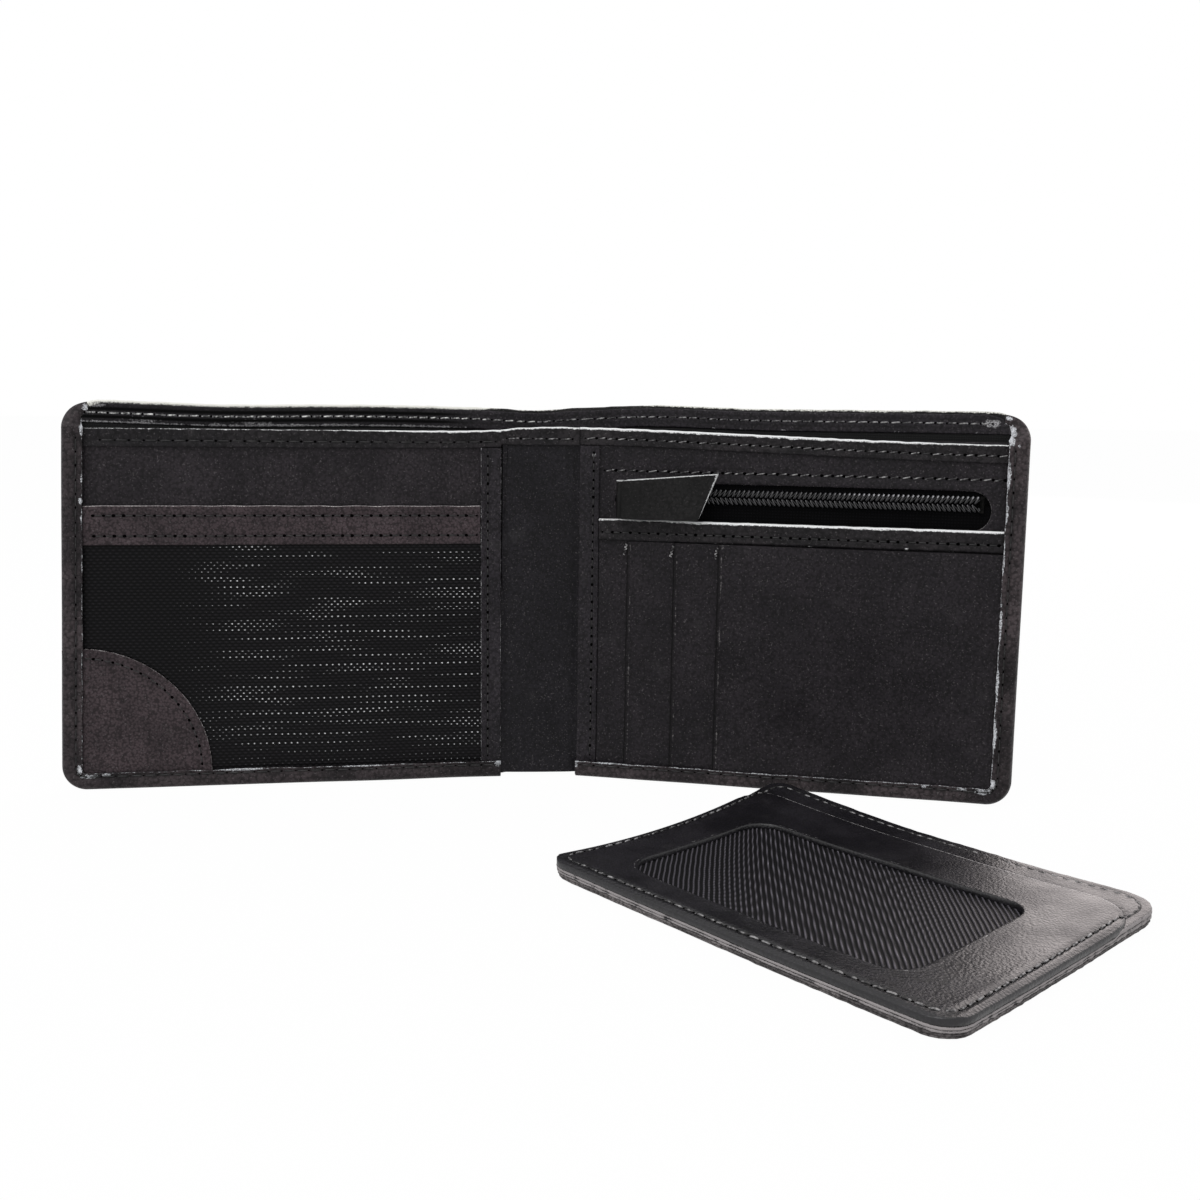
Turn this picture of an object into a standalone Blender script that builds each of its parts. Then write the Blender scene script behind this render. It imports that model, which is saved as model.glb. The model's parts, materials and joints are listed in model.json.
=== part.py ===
"""An open bifold wallet with a zipped coin pocket, and its loose card holder lying in front of it.

Metres, +Z up. The wallet stands on its lower edges in a shallow V, with its inside facing -Y.
Each wing has its own frame: u runs from the fold outwards, v runs up, and depth runs from the
front face of the edge binding back towards the outside of the wallet.
"""

import itertools
import math

import bmesh
import bpy
import numpy as np
from mathutils import Vector

# Driving sizes of the wallet
HEIGHT = 0.0950
LEFT_LENGTH = 0.1076
RIGHT_LENGTH = 0.1083
LEFT_TAPER = 0.0043
RIGHT_TAPER = 0.0007
SPINE_WIDTH = 0.0186
LEFT_OPEN_DEG = 5.57
RIGHT_OPEN_DEG = 14.48
LOWER_CORNER_RADIUS = 0.0062
UPPER_CORNER_RADIUS = 0.0078
SPINE_DIP = 0.0010
SPINE_CLEARANCE = 0.0011
FOLD_GAP = 0.0002

# Driving sizes of the card holder, which lies flat
HOLDER_LENGTH = 0.0950
HOLDER_WIDTH = 0.0742
HOLDER_TURN_DEG = -50.18
HOLDER_RIGHT_OF_SPINE = 0.0594
HOLDER_CORNER_TO_SPINE = 0.02206
HOLDER_CORNER_RADIUS = 0.0045

# Sheet thicknesses and the gap left between neighbouring sheets
LAYER_GAP = 0.0002
COVER_THICKNESS = 0.0008
BINDING_THICKNESS = 0.00055
FACING_THICKNESS = 0.0004
CARD_POCKET_THICKNESS = 0.00035
PANEL_THICKNESS = 0.00045
DIVIDER_THICKNESS = 0.0005
FABRIC_THICKNESS = 0.0002
NET_THICKNESS = 0.00025
TAPE_THICKNESS = 0.00025

# Edge binding, divider, hems and strips
COVER_ABOVE_DIVIDER = 0.0068
DIVIDER_TOP = HEIGHT - COVER_ABOVE_DIVIDER
HEM_HEIGHT = 0.0043
HEM_BOTTOM = DIVIDER_TOP - HEM_HEIGHT
SPINE_DIVIDER_RISE = 0.0010
SPINE_DIVIDER_TOP = DIVIDER_TOP + SPINE_DIVIDER_RISE
SPINE_HEM_HEIGHT = 0.0042
COVER_HEM_HEIGHT = 0.0052
STRIP_WIDTH = 0.0052
BINDING_WIDTH = 0.0050
BINDING_HEIGHT = 0.0044
BINDING_TOP = DIVIDER_TOP - LAYER_GAP
BINDING_INNER_RADIUS = 0.0012

# Bill compartment: how far the cover bows away from the divider at the top of the spine
BILL_OPENING = 0.0070
SPINE_BOW = 0.0010
BOW_POWER = 1.5

# Left wing: window pocket
BAND_BELOW_HEM = 0.0140
BAND_HEIGHT = 0.0095
BAND_TOP = HEM_BOTTOM - BAND_BELOW_HEM
BAND_BOTTOM = BAND_TOP - BAND_HEIGHT
NET_BELOW_BAND_TOP = 0.0044
PATCH_RADIUS = 0.0303
PATCH_CENTRE_INSET = 0.0055
PATCH_CENTRE_HEIGHT = 0.0050

# Right wing: zip slot, chain and tapes
SLOT_START = 0.0088
SLOT_END_MARGIN = 0.0091
SLOT_HEIGHT = 0.0100
SLOT_BELOW_HEM = 0.0066
SLOT_TOP = HEM_BOTTOM - SLOT_BELOW_HEM
SLOT_BOTTOM = SLOT_TOP - SLOT_HEIGHT
CHAIN_BELOW_SLOT_TOP = 0.0042
CHAIN_CENTRE = SLOT_TOP - CHAIN_BELOW_SLOT_TOP
COIL_WIDTH = 0.0016
COIL_THICKNESS = 0.0012
COIL_ROUNDING_SHARE = 0.25
CHAIN_SPLIT = 0.0008
TAPE_WIDTH = 0.0078
TAPE_START = 0.0066
STOP_LENGTH = 0.0009
STOP_GAP = 0.0002
CHAIN_MARGIN = 0.0020
CHAIN_END_MARGIN = 0.0024
COIN_LINING_BOTTOM = 0.0090
COIN_LINING_RISE = 0.0027

# Right wing: front pocket and the card pockets, each edge a step further from the fold
POCKET_BELOW_SLOT = 0.0003
POCKET_TOP = SLOT_BOTTOM - POCKET_BELOW_SLOT
POCKET_BAND_HEIGHT = 0.0053
POCKET_BAND_BOTTOM = POCKET_TOP - POCKET_BAND_HEIGHT
CARD_EDGE_STEPS = (0.0125, 0.0118, 0.0111)

# Slider and pull
SLIDER_LENGTH = 0.0090
SLIDER_NOSE_WIDTH = 0.0058
SLIDER_WIDTH = 0.0074
SLIDER_PLATE = 0.0007
SLIDER_BACK_PLATE = 0.00055
SLIDER_FLANGE = 0.00035
SLIDER_CLEARANCE = 0.00025
SLIDER_POST = 0.0004
SLIDER_POST_LENGTH = 0.0024
SLIDER_POST_INSET = 0.0007
SLIDER_BACK_SPARE = 0.0002
BAIL_WIDTH = 0.0012
BAIL_LENGTH = 0.0060
BAIL_WALL = 0.00045
PULL_PIN_RADIUS = 0.00045
PULL_PIN_CLEARANCE = 0.0002
PULL_PIN_LENGTH = 0.0078
PULL_PIN_LIFT = 0.0010
PULL_PIN_FROM_NOSE = 0.0014
TAB_LAYER = 0.00055
TAB_LENGTH = 0.0240
TAB_START_HEIGHT = 0.00945
TAB_END_HEIGHT = 0.0116
TAB_SLANT = 0.0036
TAB_BELOW_CHAIN = 0.0057
TAB_CLOSE_AT = 0.0075

# Card holder: sheets, mouth along the far long side, and window
HOLDER_LEATHER = 0.0007
HOLDER_INNER = 0.0006
HOLDER_WINDOW_FABRIC = 0.0005
HOLDER_SHEET_INSET = 0.0012
HOLDER_MOUTH = 0.0084
HOLDER_MOUTH_RADIUS = 0.0060
WINDOW_SIDE_MARGIN = 0.0130
WINDOW_FRONT_MARGIN = 0.0092
WINDOW_TO_MOUTH = 0.0146
WINDOW_RADIUS = 0.0030
WINDOW_FABRIC_MARGIN = 0.0030

# Mesh fineness and tool sizes
ARC_STEPS = 6
PIN_SIDES = 16
COVER_COLUMNS = 14
COVER_ROWS = 9
SPINE_COLUMNS = 6
COLUMN_POWER = 1.7
CUT_OVERRUN = 0.0020
WELD_DISTANCE = 0.000001

LEATHER = {"colour": (0.030, 0.029, 0.030, 1.0), "roughness": 0.48, "metallic": 0.0}
LINING = {"colour": (0.012, 0.012, 0.013, 1.0), "roughness": 0.90, "metallic": 0.0}
NET = {"colour": (0.008, 0.008, 0.009, 1.0), "roughness": 0.55, "metallic": 0.0}
COIL = {"colour": (0.015, 0.015, 0.016, 1.0), "roughness": 0.35, "metallic": 0.0}
TWILL = {"colour": (0.035, 0.034, 0.036, 1.0), "roughness": 0.75, "metallic": 0.0}
METAL = {"colour": (0.060, 0.058, 0.056, 1.0), "roughness": 0.30, "metallic": 1.0}


def layer_fronts(names_and_thicknesses):
    """The depth of each sheet's front face, and the depth of the whole stack, front to back."""
    fronts = {}
    depth = 0.0
    for name, thickness in names_and_thicknesses:
        fronts[name] = depth
        depth += thickness + LAYER_GAP
    return fronts, depth - LAYER_GAP


LEFT_LAYERS, LEFT_DEPTH = layer_fronts((
    ("binding", BINDING_THICKNESS),
    ("facing", FACING_THICKNESS),
    ("net", NET_THICKNESS),
    ("divider", DIVIDER_THICKNESS),
    ("divider_lining", FABRIC_THICKNESS),
    ("cover_lining", FABRIC_THICKNESS),
    ("cover", COVER_THICKNESS),
    ("binding_back", BINDING_THICKNESS),
))
RIGHT_LAYERS, RIGHT_DEPTH = layer_fronts((
    ("binding", BINDING_THICKNESS),
    ("card_3", FACING_THICKNESS),
    ("card_2", CARD_POCKET_THICKNESS),
    ("card_1", CARD_POCKET_THICKNESS),
    ("pocket", PANEL_THICKNESS),
    ("zip_panel", PANEL_THICKNESS),
    ("tape", TAPE_THICKNESS),
    ("slider_space", SLIDER_BACK_PLATE + SLIDER_BACK_SPARE),
    ("coin_lining", FABRIC_THICKNESS),
    ("divider", DIVIDER_THICKNESS),
    ("divider_lining", FABRIC_THICKNESS),
    ("cover_lining", FABRIC_THICKNESS),
    ("cover", COVER_THICKNESS),
    ("binding_back", BINDING_THICKNESS),
))

# How far the sheets stay inside the binding's outer edge, and their corner under it
SHEET_INSET = BINDING_THICKNESS + LAYER_GAP
SHEET_CORNER_RADIUS = LOWER_CORNER_RADIUS - SHEET_INSET


class Wing:
    """One wing: which side it is on, its size, its layers and the empty on its fold."""

    def __init__(self, name, side, length, taper, open_deg, layers, depth, parent):
        self.name = name
        self.side = side
        self.length = length
        self.taper = taper
        self.layers = layers
        self.depth = depth
        turn = -side * math.radians(open_deg)
        self.pivot = add_empty(name + "_fold", (side * SPINE_WIDTH / 2, 0.0, 0.0), turn, parent)

    def outer(self, v):
        """Where the wing's outer edge stands at height v."""
        return self.length - self.taper * v / HEIGHT


def clear_scene():
    """Remove what the file holds, so that each run starts empty."""
    for thing in list(bpy.data.objects):
        bpy.data.objects.remove(thing, do_unlink=True)


def add_collection(name):
    """A new collection under the scene's own."""
    made = bpy.data.collections.new(name)
    bpy.context.scene.collection.children.link(made)
    return made


def add_material(name, look):
    """A Principled material with one colour, roughness and metallic value."""
    made = bpy.data.materials.new(name)
    made.use_nodes = True
    shader = made.node_tree.nodes["Principled BSDF"]
    shader.inputs["Base Color"].default_value = look["colour"]
    shader.inputs["Roughness"].default_value = look["roughness"]
    shader.inputs["Metallic"].default_value = look["metallic"]
    return made


def add_empty(name, location, turn, parent):
    """An empty at location, turned about Z, that carries what is parented to it."""
    made = bpy.data.objects.new(name, None)
    made.location = location
    made.rotation_euler = (0.0, 0.0, turn)
    made.parent = parent
    PARTS.objects.link(made)
    return made


def finish(thing, parent, look):
    """Parent an object, give it its own material and put it among the parts."""
    thing.parent = parent
    thing.data.materials.clear()
    thing.data.materials.append(add_material(thing.name + "_material", look))
    PARTS.objects.link(thing)
    return thing


def arc(corner, before, after, radius):
    """Points that round one corner of an outline between its two neighbours."""
    corner, before, after = Vector(corner), Vector(before), Vector(after)
    to_before = (before - corner).normalized()
    to_after = (after - corner).normalized()
    half = to_before.angle(to_after) / 2
    back = radius / math.tan(half)
    middle = corner + (to_before + to_after).normalized() * (radius / math.sin(half))
    start = corner + to_before * back - middle
    end = corner + to_after * back - middle
    swing = start.angle_signed(end)
    points = []
    for step in range(ARC_STEPS + 1):
        angle = -swing * step / ARC_STEPS
        turned = Vector((
            start.x * math.cos(angle) - start.y * math.sin(angle),
            start.x * math.sin(angle) + start.y * math.cos(angle),
        ))
        points.append(tuple(middle + turned))
    return points


def rounded(corners):
    """An outline from (u, v, radius) corners; a radius of zero keeps the corner sharp."""
    points = []
    for index, (u, v, radius) in enumerate(corners):
        before = corners[index - 1][:2]
        after = corners[(index + 1) % len(corners)][:2]
        if radius > 0:
            points += arc((u, v), before, after, radius)
        else:
            points.append((u, v))
    return points


def plate(name, outlines, front, thickness, parent, look, side=1, flat=False):
    """A flat sheet: the first outline is its edge, and any others are holes in it.

    Upright sheets have the outline in u and v and stand front to back from the given depth.
    A flat sheet lies down, with front as the height of its lower face.
    """
    curve = bpy.data.curves.new(name, "CURVE")
    curve.dimensions = "2D"
    curve.fill_mode = "BOTH"
    curve.extrude = thickness / 2
    for outline in outlines:
        spline = curve.splines.new("POLY")
        spline.points.add(len(outline) - 1)
        for point, (u, v) in zip(spline.points, outline):
            point.co = (side * u, v, 0.0, 1.0)
        spline.use_cyclic_u = True
    thing = bpy.data.objects.new(name, curve)
    middle = front + thickness / 2
    if flat:
        thing.location = (0.0, 0.0, middle)
    else:
        thing.rotation_euler = (math.radians(90), 0.0, 0.0)
        thing.location = (0.0, middle, 0.0)
    return finish(thing, parent, look)


def as_mesh(thing):
    """Turn a curve object into a mesh object of the same name and place, with its caps welded."""
    bpy.context.view_layer.update()
    graph = bpy.context.evaluated_depsgraph_get()
    mesh = bpy.data.meshes.new_from_object(thing.evaluated_get(graph))
    work = bmesh.new()
    work.from_mesh(mesh)
    bmesh.ops.remove_doubles(work, verts=work.verts, dist=WELD_DISTANCE)
    work.to_mesh(mesh)
    work.free()
    name, parent, matrix = thing.name, thing.parent, thing.matrix_local.copy()
    bpy.data.objects.remove(thing, do_unlink=True)
    made = bpy.data.objects.new(name, mesh)
    made.parent = parent
    made.matrix_local = matrix
    PARTS.objects.link(made)
    return made


def make_cutter(thing):
    """Hide a mesh object from the model and keep it for Booleans."""
    thing.hide_render = True
    thing.display_type = "WIRE"
    PARTS.objects.unlink(thing)
    CUTTERS.objects.link(thing)
    return thing


def boolean(thing, other, operation):
    """Cut or join with the exact solver."""
    modifier = thing.modifiers.new(operation.lower(), "BOOLEAN")
    modifier.operation = operation
    modifier.object = other
    modifier.solver = "EXACT"


def box(name, low, high, parent, look):
    """A block between two opposite corners in its parent's frame."""
    low, high = Vector(low), Vector(high)
    mesh = bpy.data.meshes.new(name)
    work = bmesh.new()
    bmesh.ops.create_cube(work, size=1.0)
    for vert in work.verts:
        vert.co = Vector(vert.co[i] * (high[i] - low[i]) for i in range(len(low)))
    work.to_mesh(mesh)
    work.free()
    thing = bpy.data.objects.new(name, mesh)
    thing.location = (low + high) / 2
    return finish(thing, parent, look)


def upright_pin(name, radius, length, place, parent, look):
    """A round pin along Z about a place."""
    mesh = bpy.data.meshes.new(name)
    work = bmesh.new()
    bmesh.ops.create_cone(
        work, cap_ends=True, segments=PIN_SIDES, radius1=radius, radius2=radius, depth=length,
    )
    work.to_mesh(mesh)
    work.free()
    mesh.shade_smooth()
    thing = bpy.data.objects.new(name, mesh)
    thing.location = place
    return finish(thing, parent, look)


def leaf(wing, start, bottom, top, lower_radius=SHEET_CORNER_RADIUS):
    """The outline of a sheet that runs from u = start out to the wing's edge, under its binding."""
    return rounded((
        (start, bottom, 0),
        (wing.outer(bottom) - SHEET_INSET, bottom, lower_radius),
        (wing.outer(top) - SHEET_INSET, top, 0),
        (start, top, 0),
    ))


def bow_share(wing, u, v):
    """The share of the bill opening at u, v: 1 at the top of the fold, 0 at the binding."""
    reach = wing.length - wing.taper - BINDING_WIDTH
    across = np.clip(u / reach, 0, 1)
    up = np.clip((v - BINDING_HEIGHT) / (HEIGHT - BINDING_HEIGHT), 0, 1)
    return (1 - across**2) ** 2 * up**BOW_POWER


def sheet_between(name, columns, rows, place, thickness, parent, look):
    """A bowed sheet: place(s, t) bends a unit grid, and Solidify gives it its thickness."""
    mesh = bpy.data.meshes.new(name)
    work = bmesh.new()
    bmesh.ops.create_grid(work, x_segments=columns, y_segments=rows, size=0.5)
    for vert in work.verts:
        vert.co = place(vert.co.x + 0.5, vert.co.y + 0.5)
    bmesh.ops.recalc_face_normals(work, faces=work.faces)
    facing_back = sum(face.normal.y * face.calc_area() for face in work.faces)
    if facing_back < 0:
        bmesh.ops.reverse_faces(work, faces=work.faces)
    work.to_mesh(mesh)
    work.free()
    mesh.shade_smooth()
    thing = finish(bpy.data.objects.new(name, mesh), parent, look)
    solidify = thing.modifiers.new("thickness", "SOLIDIFY")
    solidify.thickness = thickness
    solidify.offset = 1.0
    return thing


def wing_sheet(wing, name, layer, bottom, top, thickness, look):
    """A bowed sheet of a wing's cover, with round outer corners and a top that dips to the fold."""
    upper_radius = UPPER_CORNER_RADIUS - SHEET_INSET
    start = FOLD_GAP
    edge = wing.length - SHEET_INSET
    is_edge_strip = bottom > SHEET_CORNER_RADIUS
    least_height = HEIGHT - bottom - LAYER_GAP
    past_corner = math.sqrt(max(2 * upper_radius * least_height - least_height**2, 0))
    end = edge - upper_radius + past_corner if is_edge_strip else edge

    def corner_rise(u, radius):
        past = np.clip(u - (edge - radius), 0, radius)
        return radius - np.sqrt(radius**2 - past**2)

    def place(s, t):
        u = start + (end - start) * (1 - (1 - s) ** COLUMN_POWER)
        dip = SPINE_DIP * (1 - (u - start) / (edge - start)) ** 2
        low = bottom - dip if is_edge_strip else bottom + corner_rise(u, SHEET_CORNER_RADIUS)
        high = min(top, HEIGHT - corner_rise(u, upper_radius)) - dip
        v = low + (high - low) * t
        u = start + (u - start) * (wing.outer(v) - SHEET_INSET - start) / (edge - start)
        depth = wing.layers[layer] + BILL_OPENING * bow_share(wing, u, v)
        return Vector((wing.side * u, depth, v))

    return sheet_between(name, COVER_COLUMNS, COVER_ROWS, place, thickness, wing.pivot, look)


def spine_sheet(name, layer, bottom, top, thickness, parent, look):
    """A sheet of the cover across the spine, which joins the depths of the two wings with a slight bow."""
    half = SPINE_WIDTH / 2 - FOLD_GAP
    is_edge_strip = bottom > SPINE_CLEARANCE

    def place(s, t):
        x = -half + 2 * half * s
        low = bottom - SPINE_DIP if is_edge_strip else bottom
        v = low + (top - SPINE_DIP - low) * t
        flat = LEFT_LAYERS[layer] * (1 - s) + RIGHT_LAYERS[layer] * s
        up = np.clip((v - BINDING_HEIGHT) / (HEIGHT - BINDING_HEIGHT), 0, 1) ** BOW_POWER
        depth = flat + BILL_OPENING * up + SPINE_BOW * (1 - (x / half) ** 2)
        return Vector((x, depth, v))

    return sheet_between(name, SPINE_COLUMNS, COVER_ROWS, place, thickness, parent, look)


def add_cover(wing):
    """The outer leather of a wing, its lining and the turned edge along its top."""
    hem_bottom = HEIGHT - COVER_HEM_HEIGHT
    wing_sheet(
        wing, wing.name + "_cover_leather", "cover", SHEET_INSET, HEIGHT, COVER_THICKNESS, LEATHER,
    )
    wing_sheet(
        wing, wing.name + "_cover_lining", "cover_lining", SHEET_INSET,
        hem_bottom - LAYER_GAP, FABRIC_THICKNESS, LINING,
    )
    wing_sheet(
        wing, wing.name + "_cover_turned_edge", "cover_lining", hem_bottom,
        HEIGHT, FABRIC_THICKNESS, LEATHER,
    )


def add_binding(wing):
    """The leather strip folded over the wing's bottom and outer edges, as a channel open inwards."""
    top = BINDING_TOP
    outer_bottom = wing.outer(0.0)
    outer_top = wing.outer(top)
    band = rounded((
        (FOLD_GAP, 0.0, 0),
        (outer_bottom, 0.0, LOWER_CORNER_RADIUS),
        (outer_top, top, 0),
        (outer_top - BINDING_WIDTH, top, 0),
        (wing.outer(BINDING_HEIGHT) - BINDING_WIDTH, BINDING_HEIGHT, BINDING_INNER_RADIUS),
        (FOLD_GAP, BINDING_HEIGHT, 0),
    ))
    rim = BINDING_THICKNESS
    beyond = CUT_OVERRUN
    inside = rounded((
        (FOLD_GAP - beyond, rim, 0),
        (outer_bottom - rim, rim, LOWER_CORNER_RADIUS - rim),
        (wing.outer(top + beyond) - rim, top + beyond, 0),
        (outer_top - BINDING_WIDTH - beyond, top + beyond, 0),
        (wing.outer(BINDING_HEIGHT + beyond) - BINDING_WIDTH - beyond, BINDING_HEIGHT + beyond, 0),
        (FOLD_GAP - beyond, BINDING_HEIGHT + beyond, 0),
    ))
    name = wing.name + "_edge_binding"
    made = as_mesh(plate(name, (band,), 0.0, wing.depth, wing.pivot, LEATHER, wing.side))
    room = wing.depth - 2 * rim
    hollow = plate(name + "_hollow", (inside,), rim, room, wing.pivot, LEATHER, wing.side)
    boolean(made, make_cutter(as_mesh(hollow)), "DIFFERENCE")


def add_divider(wing):
    """The leather wall between the bills and the pockets, and its fabric lining."""
    layers = wing.layers
    outline = leaf(wing, FOLD_GAP, SHEET_INSET, DIVIDER_TOP)
    plate(
        wing.name + "_bill_divider", (outline,), layers["divider"], DIVIDER_THICKNESS,
        wing.pivot, LEATHER, wing.side,
    )
    lining = leaf(wing, FOLD_GAP, SHEET_INSET, DIVIDER_TOP - LAYER_GAP)
    plate(
        wing.name + "_divider_lining", (lining,), layers["divider_lining"], FABRIC_THICKNESS,
        wing.pivot, LINING, wing.side,
    )


def strip_outline(top):
    """The upright strip beside the fold."""
    return (
        (FOLD_GAP, SHEET_INSET),
        (STRIP_WIDTH, SHEET_INSET),
        (STRIP_WIDTH, top),
        (FOLD_GAP, top),
    )


def add_left_pockets(wing):
    """The window pocket of the left wing: net, top band, corner patch, hem and inner strip."""
    layers, side, pivot = wing.layers, wing.side, wing.pivot
    facing = layers["facing"]
    beside_strip = STRIP_WIDTH + LAYER_GAP
    hem = leaf(wing, FOLD_GAP, HEM_BOTTOM, DIVIDER_TOP, 0)
    hem_front = layers["divider"] - LAYER_GAP - FACING_THICKNESS
    plate("left_divider_hem", (hem,), hem_front, FACING_THICKNESS, pivot, LEATHER, side)
    net = leaf(wing, FOLD_GAP, SHEET_INSET, BAND_TOP - NET_BELOW_BAND_TOP)
    plate("window_net", (net,), layers["net"], NET_THICKNESS, pivot, NET, side)
    band = leaf(wing, beside_strip, BAND_BOTTOM, BAND_TOP, 0)
    plate("window_top_band", (band,), facing, FACING_THICKNESS, pivot, LEATHER, side)
    add_corner_patch(wing, facing)
    plate(
        "left_inner_strip", (strip_outline(HEM_BOTTOM - LAYER_GAP),), facing, FACING_THICKNESS,
        pivot, LEATHER, side,
    )


def add_corner_patch(wing, front):
    """The quarter-round leather patch over the lower outer corner of the window."""
    edge = wing.outer(SHEET_INSET) - SHEET_INSET
    centre = wing.length - PATCH_CENTRE_INSET, PATCH_CENTRE_HEIGHT
    patch_top = PATCH_CENTRE_HEIGHT + PATCH_RADIUS
    points = rounded((
        (centre[0] - PATCH_RADIUS, SHEET_INSET, 0),
        (edge, SHEET_INSET, SHEET_CORNER_RADIUS),
        (wing.outer(patch_top) - SHEET_INSET, patch_top, 0),
    ))
    steps = 2 * ARC_STEPS
    for step in range(steps + 1):
        angle = math.radians(90) * (1 + step / steps)
        points.append((
            centre[0] + PATCH_RADIUS * math.cos(angle),
            centre[1] + PATCH_RADIUS * math.sin(angle),
        ))
    plate("window_corner_patch", (points,), front, FACING_THICKNESS, wing.pivot, LEATHER, wing.side)


def add_right_pockets(wing):
    """The front pocket of the right wing, its top band and three card pockets that open to the fold."""
    layers, side, pivot = wing.layers, wing.side, wing.pivot
    start = STRIP_WIDTH + LAYER_GAP
    pocket = leaf(wing, start, SHEET_INSET, POCKET_TOP)
    plate("front_pocket_panel", (pocket,), layers["pocket"], PANEL_THICKNESS, pivot, LEATHER, side)
    band = leaf(wing, start, POCKET_BAND_BOTTOM, POCKET_TOP, 0)
    band_front = layers["card_2"]
    plate(
        "front_pocket_band", (band,), band_front, layers["pocket"] - LAYER_GAP - band_front,
        pivot, LEATHER, side,
    )
    card_thickness = (CARD_POCKET_THICKNESS, CARD_POCKET_THICKNESS, FACING_THICKNESS)
    for number, edge in enumerate(itertools.accumulate(CARD_EDGE_STEPS), start=1):
        outline = leaf(wing, edge, SHEET_INSET, POCKET_BAND_BOTTOM - LAYER_GAP)
        plate(
            f"card_pocket_{number}", (outline,), layers[f"card_{number}"],
            card_thickness[number - 1], pivot, LEATHER, side,
        )
    plate(
        "right_inner_strip", (strip_outline(HEM_BOTTOM - LAYER_GAP),), layers["pocket"],
        PANEL_THICKNESS, pivot, LEATHER, side,
    )
    hem = leaf(wing, FOLD_GAP, HEM_BOTTOM, DIVIDER_TOP, 0)
    plate("right_divider_hem", (hem,), layers["pocket"], PANEL_THICKNESS, pivot, LEATHER, side)


def add_zip(wing):
    """The zip panel with its slot, the two tapes, the two coils, the stops and the coin pocket's lining."""
    layers, side, pivot = wing.layers, wing.side, wing.pivot
    slot_end = wing.length - SLOT_END_MARGIN
    end_radius = SLOT_HEIGHT / 2 - LAYER_GAP
    slot = rounded((
        (SLOT_START, SLOT_BOTTOM, end_radius),
        (slot_end, SLOT_BOTTOM, end_radius),
        (slot_end, SLOT_TOP, end_radius),
        (SLOT_START, SLOT_TOP, end_radius),
    ))
    panel = leaf(wing, FOLD_GAP, SHEET_INSET, DIVIDER_TOP - 2 * LAYER_GAP)
    plate("zip_panel", (panel, slot), layers["zip_panel"], PANEL_THICKNESS, pivot, LEATHER, side)

    half_split = CHAIN_SPLIT / 2
    tape_end = wing.length - BINDING_WIDTH
    chain_start = SLOT_START + CHAIN_MARGIN
    chain_end = slot_end - CHAIN_END_MARGIN
    coil_back = layers["tape"] - LAYER_GAP
    coil_front = coil_back - COIL_THICKNESS
    for name, direction in (("upper", 1), ("lower", -1)):
        inner = CHAIN_CENTRE + direction * half_split
        tape_edges = sorted((inner, inner + direction * TAPE_WIDTH))
        tape = (
            (TAPE_START, tape_edges[0]),
            (tape_end, tape_edges[0]),
            (tape_end, tape_edges[1]),
            (TAPE_START, tape_edges[1]),
        )
        plate(f"zip_tape_{name}", (tape,), layers["tape"], TAPE_THICKNESS, pivot, LINING, side)
        coil_edges = sorted((inner, inner + direction * COIL_WIDTH))
        coil = (chain_start, coil_front, coil_edges[0]), (chain_end, coil_back, coil_edges[1])
        made = box(f"zip_coil_{name}", *coil, pivot, COIL)
        bevel = made.modifiers.new("rounding", "BEVEL")
        bevel.width = COIL_WIDTH * COIL_ROUNDING_SHARE
        stop = (
            (chain_start - STOP_GAP - STOP_LENGTH, coil_front, coil_edges[0]),
            (chain_start - STOP_GAP, coil_back, coil_edges[1]),
        )
        box(f"zip_top_stop_{name}", *stop, pivot, METAL)
    chain_half = half_split + COIL_WIDTH
    box(
        "zip_bottom_stop",
        (chain_end + STOP_GAP, coil_front, CHAIN_CENTRE - chain_half),
        (chain_end + STOP_GAP + STOP_LENGTH, coil_back, CHAIN_CENTRE + chain_half),
        pivot, METAL,
    )
    lining = leaf(wing, TAPE_START, COIN_LINING_BOTTOM, SLOT_TOP + COIN_LINING_RISE, 0)
    plate(
        "coin_pocket_lining", (lining,), layers["coin_lining"], FABRIC_THICKNESS, pivot, LINING, side,
    )
    return chain_start


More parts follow.
